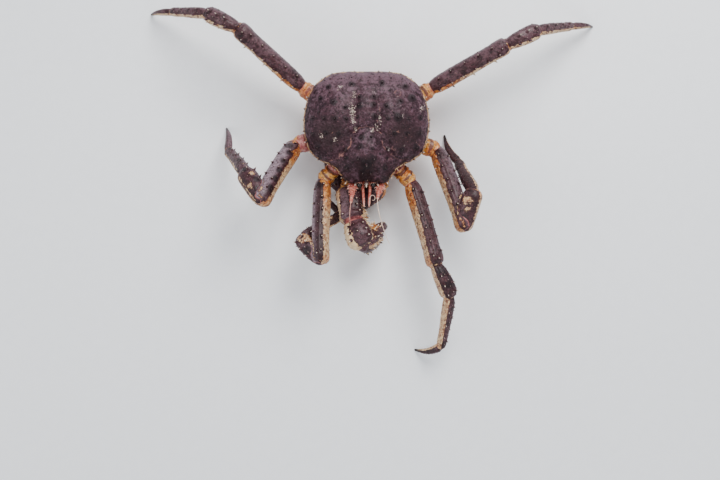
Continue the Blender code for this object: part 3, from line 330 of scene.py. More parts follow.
# ---------------------------------------------------------------- curves
def curve(rows, at):
    """Values at positions at, smoothly between rows whose first entry is the position."""
    table = np.array(rows, float)
    places, values = table[:, 0], table[:, 1:]
    at = np.clip(np.asarray(at, float), places[0], places[-1])
    after = np.clip(np.searchsorted(places, at), 1, len(places) - 1)
    before = after - 1
    first = np.maximum(before - 1, 0)
    final = np.minimum(after + 1, len(places) - 1)
    span = (places[after] - places[before])[..., None]
    share = (at[..., None] - places[before][..., None]) / span
    slope_in = (values[after] - values[first]) / (places[after] - places[first])[..., None] * span
    slope_out = (values[final] - values[before]) / (places[final] - places[before])[..., None] * span
    s2, s3 = share ** 2, share ** 3
    return ((2 * s3 - 3 * s2 + 1) * values[before] + (s3 - 2 * s2 + share) * slope_in
            + (3 * s2 - 2 * s3) * values[after] + (s3 - s2) * slope_out)


def ease(low, high, value):
    """0 below low, 1 above high, smooth between."""
    share = np.clip((value - low) / (high - low), 0, 1)
    return share * share * (3 - 2 * share)


def section(angle, half_thick, half_deep, power=SECTION_POWER):
    """Points of a rounded section at angles, as (across, up)."""
    c, s = np.cos(angle), np.sin(angle)
    return (np.sign(c) * np.abs(c) ** (2 / power) * half_thick,
            np.sign(s) * np.abs(s) ** (2 / power) * half_deep)


def grain(points, size, seed=0.0):
    """Smooth noise between about -1 and 1 at points, with features of a size."""
    flat = (points.reshape(-1, 3) / size + seed).tolist()
    return np.array([noise.noise(point) for point in flat]).reshape(points.shape[:-1])


def grid_normals(points):
    """Unit normals of a grid of points that wraps round in its second direction."""
    padded = np.concatenate([points[:, -1:], points, points[:, :1]], axis=1)
    around = padded[:, 2:] - padded[:, :-2]
    along = np.gradient(points, axis=0)
    normal = np.cross(around, along)
    return normal / np.maximum(np.linalg.norm(normal, axis=-1, keepdims=True), 1e-12)


def faces_outward(points, quads):
    """Whether four-sided faces, which close round a middle, face away from it."""
    first, second, third, fourth = (points[quads[:, k]] - points.mean(0) for k in range(4))
    return np.sum((first + third) * np.cross(third - first, fourth - second)) > 0


# ---------------------------------------------------------------- gathering meshes
class Skin:
    """Grids of points with paint values, gathered into the mesh of one piece."""

    def __init__(self):
        self.points, self.faces, self.kinds = [], [], []
        self.paints = {name: [] for name in PAINTS}
        self.count = 0

    def add(self, grid, start=None, end=None, kind=0, **paints):
        """Adds rings of points, closed round, each end drawn to a point if one is given."""
        rows, columns = grid.shape[:2]
        points = [grid.reshape(-1, 3)]
        index = np.arange(rows * columns).reshape(rows, columns) + self.count
        turned = np.roll(index, -1, axis=1)
        quads = np.stack([index[:-1], turned[:-1], turned[1:], index[1:]], axis=-1).reshape(-1, 4)
        faces = quads.tolist()
        extra = self.count + rows * columns
        if start is not None:
            faces += [[b, a, extra] for a, b in zip(index[0].tolist(), turned[0].tolist())]
            points.append(np.array(start, float).reshape(1, 3))
            extra += 1
        if end is not None:
            faces += [[a, b, extra] for a, b in zip(index[-1].tolist(), turned[-1].tolist())]
            points.append(np.array(end, float).reshape(1, 3))
        if not faces_outward(points[0], quads - self.count):
            faces = [face[::-1] for face in faces]
        self.points += points
        self.faces += faces
        self.kinds += [kind] * len(faces)
        for name in PAINTS:
            value = np.broadcast_to(np.asarray(paints.get(name, 0.0), float), (rows, columns))
            self.paints[name].append(value.ravel())
            if start is not None:
                self.paints[name].append(value[0, :1])
            if end is not None:
                self.paints[name].append(value[-1, :1])
        self.count += sum(len(part) for part in points)

    def piece(self, name, materials, slot, *replaced):
        """Makes the piece, which rides on the crab, and hides the nodes it replaces."""
        mesh = bpy.data.meshes.new(name)
        mesh.from_pydata(np.concatenate(self.points).tolist(), [], self.faces)
        for paint, values in self.paints.items():
            layer = mesh.attributes.new(paint, "FLOAT", "POINT")
            layer.data.foreach_set("value", np.concatenate(values).astype(np.float32))
        for material in materials:
            mesh.materials.append(material)
        mesh.polygons.foreach_set("material_index", self.kinds)
        mesh.shade_smooth()
        mesh.update()
        made = bpy.data.objects.new(name, mesh)
        bpy.context.scene.collection.objects.link(made)
        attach(made, "root")
        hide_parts(*replaced)
        return made


# Height along a spine and its radius there, as shares of its length and foot radius.
SPINE_PROFILE = (
    (-0.3, 1.4), (-0.08, 1.24), (0.05, 1.06), (0.16, 0.9), (0.34, 0.7), (0.56, 0.48), (0.76, 0.29),
    (0.9, 0.15), (0.975, 0.06),
)
SPINE_BEND = 0.12


def add_spine(skin, foot, way, length, radius, sides=12, lean=None, **paints):
    """A conical spine with a flared foot, which grows from a point of a surface."""
    axis = Vector(way).normalized()
    side = axis.orthogonal().normalized()
    other = axis.cross(side)
    bend = Vector(lean) if lean is not None else Vector((0, 0, 0))
    profile = np.array(SPINE_PROFILE)
    turn = np.linspace(0, math.tau, sides, endpoint=False)
    centre = (np.array(foot) + np.outer(profile[:, 0], np.array(axis)) * length
              + np.outer(np.maximum(profile[:, 0], 0) ** 2, np.array(bend)) * length * SPINE_BEND)
    ring = (np.outer(np.cos(turn), np.array(side)) + np.outer(np.sin(turn), np.array(other)))
    grid = centre[:, None] + ring[None] * (profile[:, 1] * radius)[:, None, None]
    peak = np.array(foot) + np.array(axis) * length + np.array(bend) * length * SPINE_BEND
    tip = ease(0.1, 0.85, profile[:, 0])[:, None] * np.ones((1, sides)) * paints.pop("tip", 1.0)
    skin.add(grid, end=peak, tip=tip, **paints)


# ---------------------------------------------------------------- carapace
def outline_rows():
    """The carapace outline as (angle from straight back, radius) rows, past both ends."""
    rows = [(math.atan2(out, back), math.hypot(out, back) * HALF_WIDTH)
            for out, back in CARAPACE_OUTLINE]
    return ((-rows[1][0], rows[1][1]), *rows, (math.tau - rows[-2][0], rows[-2][1]))


OUTLINE_ROWS = outline_rows()


def rim_radius(x, y):
    """Radius of the carapace's rim in the direction of plan points."""
    return curve(OUTLINE_ROWS, np.arctan2(np.abs(x), y))[..., 0]


def segment_distance(x, y, x0, y0, x1, y1):
    """Distance of plan points from a straight segment."""
    along = ((x - x0) * (x1 - x0) + (y - y0) * (y1 - y0)) / ((x1 - x0) ** 2 + (y1 - y0) ** 2)
    along = np.clip(along, 0, 1)
    return np.hypot(x - x0 - along * (x1 - x0), y - y0 - along * (y1 - y0))


def wander(out, back):
    """Plan points a little displaced, so that what is drawn at them wanders."""
    return (out + 0.012 * np.sin(17 * back + 2 * out) + 0.006 * np.sin(41 * back - 9 * out),
            back + 0.012 * np.sin(15 * out - 3 * back) + 0.006 * np.sin(37 * out + 8 * back))


def bell(out, back, mid_out, mid_back, across, along):
    """1 in the middle of an oval patch of the back, falling to 0 round it."""
    return np.exp(-((out - mid_out) / across) ** 2 - ((back - mid_back) / along) ** 2)


def dome_height(x, y):
    """Upper surface of the carapace at plan points."""
    out, back = np.abs(x) / HALF_WIDTH, y / HALF_WIDTH
    rise = np.zeros_like(out)
    for *patch, height in SWELLINGS:
        rise += height * bell(out, back, *patch)
    wider, shallower = GROOVE_SOFTNESS
    out, back = wander(out, back)
    for x0, y0, x1, y1, width, depth in GROOVES:
        away = segment_distance(out, back, x0, y0, x1, y1)
        rise -= depth * shallower * np.exp(-(away / (width * wider)) ** 2)
    rho = np.minimum(1.0, np.hypot(x, y) / rim_radius(x, y))
    inner, outer = DOME_POWER
    return RIM_HEIGHT + DOME_RISE * (1 - rho ** inner) ** outer + rise * (1 - rho ** 6)


def dome_normal(x, y):
    """Outward direction of that surface, measured a little in from the rim."""
    step = 0.002
    inset = min(1.0, 0.9 * float(rim_radius(x, y)) / max(math.hypot(x, y), 1e-9))
    x, y = x * inset, y * inset
    dx = float(dome_height(x + step, y) - dome_height(x - step, y)) / (2 * step)
    dy = float(dome_height(x, y + step) - dome_height(x, y - step)) / (2 * step)
    return Vector((-dx, -dy, 1)).normalized()


def rim_angles(count):
    """Angles from straight back, all the way round, spaced evenly along the rim."""
    angle = np.linspace(0, math.tau, 2881)
    x, y = np.sin(angle), np.cos(angle)
    radius = rim_radius(x, y)
    step = np.hypot(np.diff(x * radius), np.diff(y * radius))
    travelled = np.concatenate([[0], np.cumsum(step)])
    return np.interp(np.linspace(0, travelled[-1], count, endpoint=False), travelled, angle)


def carapace_spines():
    """Foot, direction, length, slenderness and whether it is a main one, of each spine."""
    found = []
    for side in (-1, 1):
        for rows, main in ((CARAPACE_SPINE_ROWS, True), (SMALL_SPINE_ROWS, False)):
            for start, end, count, length in rows:
                for k in range(count):
                    share = k / max(1, count - 1)
                    wobble = 0.0015 if main else 0.004
                    x = side * HALF_WIDTH * (start[0] + (end[0] - start[0]) * share)
                    y = HALF_WIDTH * (start[1] + (end[1] - start[1]) * share)
                    x += random.uniform(-wobble, wobble)
                    y += random.uniform(-wobble, wobble)
                    tall = length * random.uniform(0.88, 1.1)
                    foot = (x, y, float(dome_height(x, y)))
                    found.append((foot, dome_normal(x, y), tall, SPINE_SLENDERNESS, main))
        first, last = RIM_SPINE_ARC
        for k in range(2 * RIM_SPINES - 1):
            angle = math.radians(first + (last - first) * k / (2 * RIM_SPINES - 2))
            main = k % 2 == 0
            x, y = side * math.sin(angle), math.cos(angle)
            radius = float(rim_radius(x, y)) * 0.985
            foot = (x * radius, y * radius, RIM_HEIGHT + (RIM_SPINE_LENGTH if main else 0.002))
            tall = RIM_SPINE_LENGTH * random.uniform(0.85, 1.15) * (1.0 if main else 0.55)
            if angle < math.radians(TAIL_MARGIN[0]):
                tall *= TAIL_MARGIN[1]
            found.append((foot, Vector((x, y, RIM_SPINE_LIFT)), tall, SPINE_SLENDERNESS, main))
        for out, back, lift, way, length, slenderness in BROW_SPINES:
            if out == 0 and side < 0:
                continue
            x, y = side * out * HALF_WIDTH, back * HALF_WIDTH
            height = float(dome_height(x, y)) if lift is None else RIM_HEIGHT + lift
            way = Vector((side * way[0], way[1], way[2]))
            found.append(((x, y, height), way, length, slenderness, True))
    return found


# Patches of pale flecks and worn spots: outward with its sign, backward, and half lengths.
FLECKS = (
    (-0.2, 0.5, 0.06, 0.05), (-0.26, 0.28, 0.05, 0.06), (-0.24, 0.19, 0.05, 0.05),
    (-0.21, 0.09, 0.05, 0.07), (-0.17, -0.03, 0.045, 0.06), (0.2, 0.11, 0.035, 0.06),
    (0.17, -0.01, 0.04, 0.05), (0.09, -0.08, 0.05, 0.06), (-0.71, -0.15, 0.05, 0.045),
    (-0.49, -0.2, 0.04, 0.05), (-0.42, 0.62, 0.07, 0.05), (0.86, 0.3, 0.06, 0.1),
    (-0.3, -0.35, 0.05, 0.05), (0.33, -0.35, 0.04, 0.05), (0.1, 0.52, 0.05, 0.04),
    (0.55, 0.15, 0.05, 0.05), (-0.55, 0.3, 0.04, 0.04), (0.6, -0.3, 0.04, 0.05),
)
RING_SCAR = (0.48, 0.504, 0.048)     # a barnacle's scar: outward, backward, radius
PINK_FLUSH = (0.4, -0.4, 0.13, 0.17)
PLAIN_BROW = (0.0, -0.9, 0.4, 0.16)  # where the rim has no pale edge
# Lighter and darker areas of each half: middle outward and backward, half lengths, and how
# much lighter.
TONES = ((0.0, -0.2, 0.22, 0.16, 0.35), (0.0, -0.6, 0.34, 0.18, -0.34), (0.58, -0.14, 0.3, 0.26, -0.9),
         (0.0, 0.2, 0.6, 0.2, -0.2), (0.0, -0.6, 0.13, 0.11, -0.8))
SCALLOPS = 21                        # round the whole tail margin
SCALLOP_DEPTH = 0.0011
CARAPACE_MESH = (680, 140)           # points round a ring, and rings
GRANULES = 900
USUAL_SPINE = 0.007
SPINE_SHADE_RADIUS = 0.0066                 # of the dark patch round a spine of that length, painted shade at its foot
BACK_GRANULES = (0.0009, 0.002)      # their sizes
SCAR_RELIEF = (0.0012, 0.0009)       # height of the scar's ring, and depth of its middle
UNEVENNESS = ((0.0007, 0.013, 0.0), (0.0004, 0.0055, 3.0))    # height, size and seed of noise
RIM_PALENESS = 0.68
SPINE_MOUND = (0.24, 1.75)           # its rise and radius under a spine, in the spine's own
# Where white mineral crust grows: outward with its sign, backward, half lengths, how many.
CRUSTS = (
    (-0.2, 0.48, 0.05, 0.05, 22), (-0.22, 0.27, 0.035, 0.09, 34), (-0.21, 0.12, 0.035, 0.09, 34),
    (-0.17, -0.03, 0.03, 0.05, 16), (0.165, -0.02, 0.03, 0.045, 18), (0.2, 0.1, 0.02, 0.05, 10),
    (-0.71, -0.15, 0.045, 0.035, 12), (-0.49, -0.2, 0.03, 0.045, 12), (0.86, 0.3, 0.04, 0.09, 14),
    (-0.42, 0.6, 0.05, 0.04, 8), (0.32, -0.33, 0.03, 0.04, 6), (0.08, -0.07, 0.03, 0.04, 8),
)
CRUST_SIZE = (0.0005, 0.0013)


def add_spine_mounds(x, y, top, spines, rise, spot):
    """Raises a mound under each spine of the back, and paints shade on the shell round it."""
    tall, wide = SPINE_MOUND
    sway = 0.0022 * grain(top, 0.0065, 7.0)
    for foot, way, length, slenderness, main in spines:
        ragged = (x + sway - foot[0]) ** 2 + (y - sway - foot[1]) ** 2
        size = SPINE_SHADE_RADIUS * length / USUAL_SPINE * random.uniform(0.8, 1.2)
        depth = random.uniform(0.55, 1.0) if main else random.uniform(0.2, 0.6)
        np.maximum(spot, depth * np.exp(-ragged / size ** 2), out=spot)
        if way.z > 0.5:
            away = (x - foot[0]) ** 2 + (y - foot[1]) ** 2
            rise += length * tall * np.exp(-away / (length / slenderness * wide) ** 2)


def add_back_granules(x, y, rise, spot):
    """Raises small grains all over the back, a little darker than what lies round them."""
    for _ in range(GRANULES):
        turn, reach = random.uniform(0, math.tau), math.sqrt(random.random()) * 0.97
        reach *= float(rim_radius(math.sin(turn), math.cos(turn)))
        size = random.uniform(*BACK_GRANULES)
        away = (x - math.sin(turn) * reach) ** 2 + (y - math.cos(turn) * reach) ** 2
        bump = random.uniform(0.2, 0.5) * np.exp(-away / size ** 2)
        rise += bump * size
        np.maximum(spot, bump * 1.1, out=spot)


def back_lines(x, y, rise):
    """Sinks the furrows and the scar into the back: pale lines, and the scar's ring."""
    out, back = wander(np.abs(x) / HALF_WIDTH, y / HALF_WIDTH)
    line = 0 * x
    for x0, y0, x1, y1, depth in FURROWS:
        trace = np.exp(-(segment_distance(out, back, x0, y0, x1, y1) / FURROW_WIDTH) ** 2)
        rise -= depth * trace
        line = np.maximum(line, trace * depth / 0.0006)
    scar_out, scar_back, scar_radius = RING_SCAR
    scar = np.hypot(x / HALF_WIDTH - scar_out, y / HALF_WIDTH - scar_back) / scar_radius
    ring = np.exp(-((scar - 1) / 0.3) ** 2)
    height, depth = SCAR_RELIEF
    rise += height * ring - depth * np.exp(-(scar / 0.6) ** 2)
    return np.maximum(line, np.maximum(1.1 * ring, 0.62 * bell(out, back, *PINK_FLUSH))), ring


def back_paints(grid, share, tail, dashes, lip_rings):
    """The pale rim, the flecks and the lighter and darker areas of the back and its lip, with a painted
    sheen towards the tail.
    """
    out, back = grid[..., 0] / HALF_WIDTH, grid[..., 1] / HALF_WIDTH
    rho = np.concatenate([share, np.ones(lip_rings)])[:, None] + 0 * out
    below = np.concatenate([0 * share, np.ones(lip_rings)])[:, None]
    dashes = 1 - 0.4 * tail * (1 - dashes)
    rim = ease(0.962, 0.982, rho) * RIM_PALENESS * (1 - bell(out, back, *PLAIN_BROW))
    # The back is laid lighter towards its tail, a painted sheen where it faces the light, and a little
    # lighter in a band by the rim.
    tone = 0.62 * ease(0.35, 0.9, back) + 0.22 * ease(0.8, 1.0, rho)
    for *patch, strength in TONES:
        tone += strength * bell(np.abs(out), back, *patch)
    return {"belly": np.clip(rim * dashes + below, 0, 1), "tone": tone,
            "fleck": sum(bell(out, back, *patch) for patch in FLECKS)}


def add_crust(skin, origin):
    """Scatters beads of white mineral crust in its patches on the back."""
    for mid_out, mid_back, across, along, count in CRUSTS:
        for _ in range(count):
            x = (mid_out + across * random.gauss(0, 0.55)) * HALF_WIDTH
            y = (mid_back + along * random.gauss(0, 0.55)) * HALF_WIDTH
            size = random.uniform(*CRUST_SIZE)
            place = Vector((x, y, float(dome_height(x, y)) + size * 0.2))
            turn = random.uniform(0, math.tau)
            add_bead(skin, np.array(place + origin), Vector((math.cos(turn), math.sin(turn), 0)),
                     dome_normal(x, y), (size * 1.4, size, size * 0.8),
                     tip=random.uniform(0.36, 0.68))


def build_carapace(origin, materials):
    """The back shell with its regions, furrows, granules, spines, rostrum and pale rim."""
    columns, rings = CARAPACE_MESH
    angle = rim_angles(columns)
    share = np.sin(np.linspace(0.006, math.pi / 2, rings))
    sin, cos = np.sin(angle)[None], np.cos(angle)[None]
    tail = ease(0.2, 0.7, cos)
    scallops = np.abs(np.sin(SCALLOPS * angle / 2))
    radius = rim_radius(sin, cos) - SCALLOP_DEPTH * tail * scallops ** 3
    x, y = share[:, None] * radius * sin, share[:, None] * radius * cos
    top = np.stack([x, y, dome_height(x, y)], axis=-1)
    spines = carapace_spines()
    rise, spot = np.zeros(x.shape), np.zeros(x.shape)
    add_spine_mounds(x, y, top, spines, rise, spot)
    add_back_granules(x, y, rise, spot)
    line, ring = back_lines(x, y, rise)
    rise += sum(height * grain(top, size, seed) for height, size, seed in UNEVENNESS)
    rise *= 1 - ease(0.985, 1.0, share)[:, None]
    top += grid_normals(top) * rise[..., None]

    # The turned-in rim, and the flat under it.
    lip = curve(((0.0, 1.0, RIM_HEIGHT), (0.4, 0.998, RIM_HEIGHT - 0.0016),
                 (0.7, 0.985, RIM_HEIGHT - 0.0035), (1.0, 0.955, SPLIT_HEIGHT)),
                np.linspace(0.14, 1, 8))
    under = [np.stack([sin[0] * radius[0] * s, cos[0] * radius[0] * s, np.full(columns, h)], -1)
             for s, h in lip]
    grid = np.concatenate([top, np.array(under)])
    extra = ((0, len(lip)), (0, 0))
    paints = back_paints(grid, share, tail, scallops, len(lip))
    paints["fleck"] = np.clip(paints["fleck"] + np.pad(ring * 0.7, extra), 0, 1)
    skin = Skin()
    grid += origin
    skin.add(grid, start=grid[0].mean(0), end=grid[-1].mean(0), seam=np.pad(line, extra),
             spot=np.pad(spot, extra), **paints)
    for foot, way, length, slenderness, main in spines:
        raised = way.z > 0.5
        lean = Vector((0, -0.3, 0)) if raised else Vector((0, 0, 0.6))
        # Raised spines are laid dark like the painted shade round their feet; those of the rim are pale.
        shade = {"spot": 0.7, "tip": 0.42} if raised else {"belly": 0.42, "tip": 0.85}
        add_spine(skin, Vector(foot) + origin, way, length, length / slenderness * 0.74,
                  sides=16 if main else 10, lean=lean, **shade)
    add_crust(skin, origin)
    return skin.piece("shell_carapace", materials, "purple_shell", "carapace")


# ---------------------------------------------------------------- thorax and abdomen
def build_thorax(origin, materials):
    """The underside, with furrows between the leg bases."""
    columns = 360
    angle = rim_angles(columns)
    sin, cos = np.sin(angle)[None], np.cos(angle)[None]
    radius = rim_radius(sin, cos)
    place = np.linspace(0, 1, 70)
    rows = curve(THORAX_RINGS, place)
    x, y = rows[:, :1] * radius * sin, rows[:, :1] * radius * cos
    grid = np.stack([x, y, np.repeat(rows[:, 1:2], columns, 1)], axis=-1)
    inner = np.linspace(0.44, 0.0, 24)[:-1]
    floor = np.stack([inner[:, None] * radius * sin, inner[:, None] * radius * cos,
                      np.full((len(inner), columns), BELLY_HEIGHT)], axis=-1)
    grid = np.concatenate([grid, floor])
    back = grid[..., 1] / HALF_WIDTH
    folds = np.abs(np.sin(back * 9.0 + 0.6)) ** 14
    rise = -0.0016 * folds * ease(0.0, 0.3, np.linspace(0, 1, len(grid)))[:, None]
    rise = rise + 0.0006 * grain(grid, 0.007, 5.0) + 0.0003 * grain(grid, 0.0025, 9.0)
    rise[:3] = 0
    grid += grid_normals(grid) * -np.abs(rise)[..., None]
    skin = Skin()
    grid += origin
    skin.add(grid, start=grid[0].mean(0), end=grid[-1].mean(0),
             crease=np.clip(folds * 0.8, 0, 1), tone=grain(grid, 0.03, 2.0))
    return skin.piece("shell_thorax", materials, "pale_shell", "thorax")


def build_abdomen(origin, materials):
    """The folded tail: overlapping plates with raised edges and side plates."""
    steps, sides = 240, 120
    share = np.linspace(0, 1, steps + 1)
    rows = curve(ABDOMEN_PATH, share)
    ahead = curve(ABDOMEN_PATH, np.minimum(1, share + 0.01))
    behind = curve(ABDOMEN_PATH, np.maximum(0, share - 0.01))
    run = ahead[:, :2] - behind[:, :2]
    run /= np.linalg.norm(run, axis=1, keepdims=True)
    part = share * ABDOMEN_PLATES % 1.0
    proud = ABDOMEN_STEP * (1 - part) + 0.0008 * np.exp(-(part / 0.12) ** 2)
    turn = np.linspace(0, math.tau, sides, endpoint=False)
    across, up = section(turn[None], rows[:, 2:3], rows[:, 3:4] + proud[:, None], ABDOMEN_POWER)
    sag = ABDOMEN_SAG * (across / rows[:, 2:3]) ** 2
    seam = np.abs(np.abs(across) / rows[:, 2:3] - 0.62)
    groove = np.exp(-(seam / 0.03) ** 2) + np.exp(-((part - 0.97) / 0.03) ** 2)[:, None]
    thin = 1 - 0.1 * np.clip(groove, 0, 1)
    y = rows[:, :1] - run[:, 1:2] * up * thin
    z = rows[:, 1:2] + sag + run[:, :1] * up * thin
    grid = np.stack([across, y, z], axis=-1)
    grid += grid_normals(grid) * (0.0004 * grain(grid, 0.006, 4.0))[..., None]
    start = grid[0].mean(0) - np.array([0, run[0, 0], run[0, 1]]) * rows[0, 3] * 0.5
    end = grid[-1].mean(0) + np.array([0, run[-1, 0], run[-1, 1]]) * rows[-1, 3] * 0.5
    skin = Skin()
    skin.add(grid + origin, start=start + origin, end=end + origin,
             crease=np.clip(groove, 0, 1) * 0.8, tone=grain(grid, 0.02, 8.0))
    for k in range(ABDOMEN_PLATES):
        for j in range(5):
            row = int((k + 0.35 + random.uniform(-0.1, 0.1)) / ABDOMEN_PLATES * steps)
            column = int(sides * (0.6 + 0.3 * j / 4 + random.uniform(-0.02, 0.02))) % sides
            foot = grid[row, column] + origin
            out = grid[row, column] - np.array([0, rows[row, 0], rows[row, 1]])
            add_spine(skin, foot, Vector(out), 0.002, 0.0014, sides=8, tip=0.3)
    return skin.piece("shell_abdomen", materials, "pale_shell", "abdomen")


# ---------------------------------------------------------------- plates of the limbs
class Plate:
    """One plate of a limb, with the frame that it lies along."""

    def __init__(self, name, kind, side, size, matrix):
        self.name, self.kind, self.key, self.side = name, kind, f"{name}_{kind}", side
        self.length, self.half_thick, self.half_deep = size
        self.around = (self.half_thick + self.half_deep) / 2
        self.turn = np.array(matrix.to_3x3())
        self.place = np.array(matrix.translation)
        self.run = Vector(self.turn[:, 0])

    def section_at(self, share):
        """Half thickness, half depth, sideways shift and rise at shares of the length."""
        share = np.asarray(share, float)
        rows = curve(PROFILES[self.kind], share)
        thick, deep = rows[..., 0] * self.half_thick, rows[..., 1] * self.half_deep
        bow = BOWS.get(self.kind, 0.0) * self.length
        rise = rows[..., 2] * self.half_deep + bow * np.sin(math.pi * np.clip(share, 0, 1))
        shift = np.zeros(share.shape)
        if self.kind == "palm":
            shift = self.side * curve(PALM_LEAN, share)[..., 0] * self.half_thick
        return thick, deep, shift, rise

    def pale_side(self):
        """Angle of the middle of the pale side, and how much more than half of it is pale."""
        return PALE_SIDES.get(self.key, PALE_SIDES.get(self.name, PALE_SIDE))

    def away(self, share, angle, at, turn):
        """Squared distance over the surface from a share and an angle."""
        return ((share - at) * self.length) ** 2 + (apart(angle, turn) * self.around) ** 2

    def to_world(self, local):
        return local @ self.turn.T + self.place

    def surface(self, share, angle):
        """Local points of the surface at shares and angles."""
        thick, deep, shift, rise = self.section_at(share)
        across, up = section(angle, thick, deep)
        return np.stack([share * self.length + 0 * across, self.side * across + shift, up + rise], -1)

    def distance(self, points):
        """About how far world points lie outside the plate; negative inside it."""
        local = (points - self.place) @ self.turn
        along = local[..., 0]
        thick, deep, shift, rise = self.section_at(np.clip(along / self.length, 0, 1))
        reach = np.hypot((local[..., 1] - shift) / thick, (local[..., 2] - rise) / deep)
        past = np.where(along < 0, -along / (KNUCKLE_DEPTH * deep),
                        np.maximum(0, along - self.length) / (END_DEPTH * deep))
        return (np.hypot(reach, past) - 1) * np.minimum(thick, deep)


def direction(side, heading, pitch):
    """Unit vector from a plan heading and a pitch, in degrees, on one side of the body."""
    h, p = math.radians(heading), math.radians(pitch)
    return Vector((side * math.sin(h) * math.cos(p), -math.cos(h) * math.cos(p), math.sin(p)))


def frame_at(origin, along, back):
    """Matrix of a plate's frame: +X along it, +Z as near to back as that allows."""
    x = along.normalized()
    z = (back - x * back.dot(x)).normalized()
    y = z.cross(x)
    return Matrix(((x.x, y.x, z.x, origin.x), (x.y, y.y, z.y, origin.y),
                   (x.z, y.z, z.z, origin.z), (0, 0, 0, 1)))


def limb_frames(side, coxa_root, coxa_end, turns, lengths, roll, origin):
    """Frames and lengths of a limb's plates from its root out; its back turns as it bends."""
    start = Vector((side * coxa_root[0], coxa_root[1], coxa_root[2])) + origin
    joint = Vector((side * coxa_end[0], coxa_end[1], coxa_end[2])) + origin
    frames = [(frame_at(start, joint - start, Vector((0, 0, 1))), (joint - start).length)]
    tilt = math.radians(roll)
    back = Vector((side * math.sin(tilt), 0, math.cos(tilt)))
    way = direction(side, *turns[0])
    for turn, length in zip(turns, lengths):
        new_way = direction(side, *turn)
        back = way.rotation_difference(new_way) @ back
        way = new_way
        frames.append((frame_at(joint, way, back), length))
        joint = joint + way * length
    return frames


# Where a plate is pale: the angle round it of the middle of that side, and how much more than
# half of it is pale.  A limb's own entry goes before that of its kind of limb.
PALE_SIDES = {
    "cheliped_right_merus": (-40, 0.1), "cheliped_right_carpus": (-42, 0.42),
    "cheliped_left_merus": (-90, 0.45), "cheliped_left_carpus": (-90, 0.55),
    "cheliped_right_palm": (-100, -0.1), "cheliped_left_palm": (-90, 0.1),
    "leg3_right_carpus": (-90, -0.55), "leg3_right_propodus": (-90, -0.55),
    "leg3_right_dactyl": (-90, -0.55), "leg3_left_carpus": (-95, -0.88),
    "leg3_left_propodus": (-95, -0.84), "leg3_left_dactyl": (-95, -0.75),
    "leg2_right_carpus": (-28, -0.12), "leg4_left": (-138, 0.14), "leg4_right": (-138, 0.14),
    "leg2_left_propodus": (-125, 0.3), "leg2_left_dactyl": (-110, -0.5), "leg2_left_merus": (-128, 0.1),
    "leg3_left_merus": (-124, 0.02), "leg2_right_merus": (-144, 0.03),
}
PALE_SIDE = (-118, -0.08)
# The lilac grey of the outer flanks, mostly a painted wet sheen reflecting the sky: the angle of
# their middle, how wide they are, and how strong.
FLANK_SHEEN_SIDES = {
    "leg3_right_merus": (58, 0.05, 1.25), "leg2_right_merus": (32, -0.35, 1.9),
    "cheliped_right_merus": (20, 0.0, 0.85), "leg3_left_merus": (30, -0.2, 0.7),
    "leg2_right_carpus": (60, -0.2, 0.4), "leg3_right_propodus": (60, -0.1, 0.6),
    "leg3_right_dactyl": (60, 0.2, 0.6), "leg3_right_carpus": (30, -0.1, 0.5),
}
FLANK_SHEEN_SIDE = (18, -0.35, 0.3)
# Patches of a plate: share, angle, size, and how pale, or how dark where it is negative.
PATCHES = {
    "leg3_right_merus": (
        (0.04, 100, 0.011, 0.95), (0.17, 92, 0.01, -0.9), (0.28, 122, 0.008, -0.8),
        (0.44, 118, 0.008, -0.7), (0.59, 132, 0.008, -0.8), (0.72, 140, 0.008, -0.9),
        (0.87, 146, 0.009, -0.9), (0.22, 150, 0.008, 0.8),
    ),
    "leg3_right_carpus": (
        (0.71, 112, 0.006, 0.8), (0.4, 172, 0.007, 0.8), (0.48, 108, 0.007, -0.9),
        (0.92, 140, 0.007, -0.9), (0.2, 130, 0.008, -0.8),
    ),
    "leg3_right_propodus": (
        (0.1, 110, 0.006, 0.6), (0.3, 130, 0.006, -0.8), (0.55, 100, 0.007, -0.8),
        (0.85, 120, 0.006, -0.8),
    ),
    "leg2_right_merus": ((0.06, 110, 0.01, 0.7), (0.1, 85, 0.009, -0.8)),
    "leg2_right_carpus": ((0.7, 55, 0.011, 1.0), (0.9, 80, 0.008, 0.8), (0.38, 105, 0.01, -0.95)),
    "leg2_right_propodus": ((0.55, 20, 0.01, 0.9), (0.7, 50, 0.008, 0.7)),
    "cheliped_right_merus": ((0.9, 178, 0.013, 0.95), (0.7, 196, 0.01, 0.8)),
    "cheliped_right_carpus": ((0.26, 182, 0.01, 0.9), (0.5, 190, 0.008, 0.8)),
    "cheliped_right_palm": ((0.34, 205, 0.018, 1.0), (0.16, 190, 0.01, 0.9)),
    "leg3_left_carpus": ((0.74, 165, 0.008, 1.0), (0.52, 186, 0.006, 0.7), (0.25, 170, 0.008, -0.8)),
    "leg2_left_carpus": ((0.2, 110, 0.01, -0.8), (0.6, 100, 0.01, -0.7)),
}
# Thin pale edges: the angle of their middle, half width in radians, and how pale.
PALE_EDGES = {
    "cheliped_right_palm": ((98, 0.26, 0.85),), "cheliped_right_carpus": ((168, 0.12, 0.66),),
    "leg2_right_carpus": ((182, 0.3, 0.75),), "leg2_right_merus": ((16, 0.16, 0.62),),
    "leg3_left_propodus": ((38, 0.24, 0.62), (218, 0.24, 0.62)),
    "leg3_left_carpus": ((88, 0.22, 0.6), (262, 0.26, 0.75)),
    "leg3_right_propodus": ((200, 0.22, 0.6),), "leg3_right_carpus": ((195, 0.2, 0.62),),
}
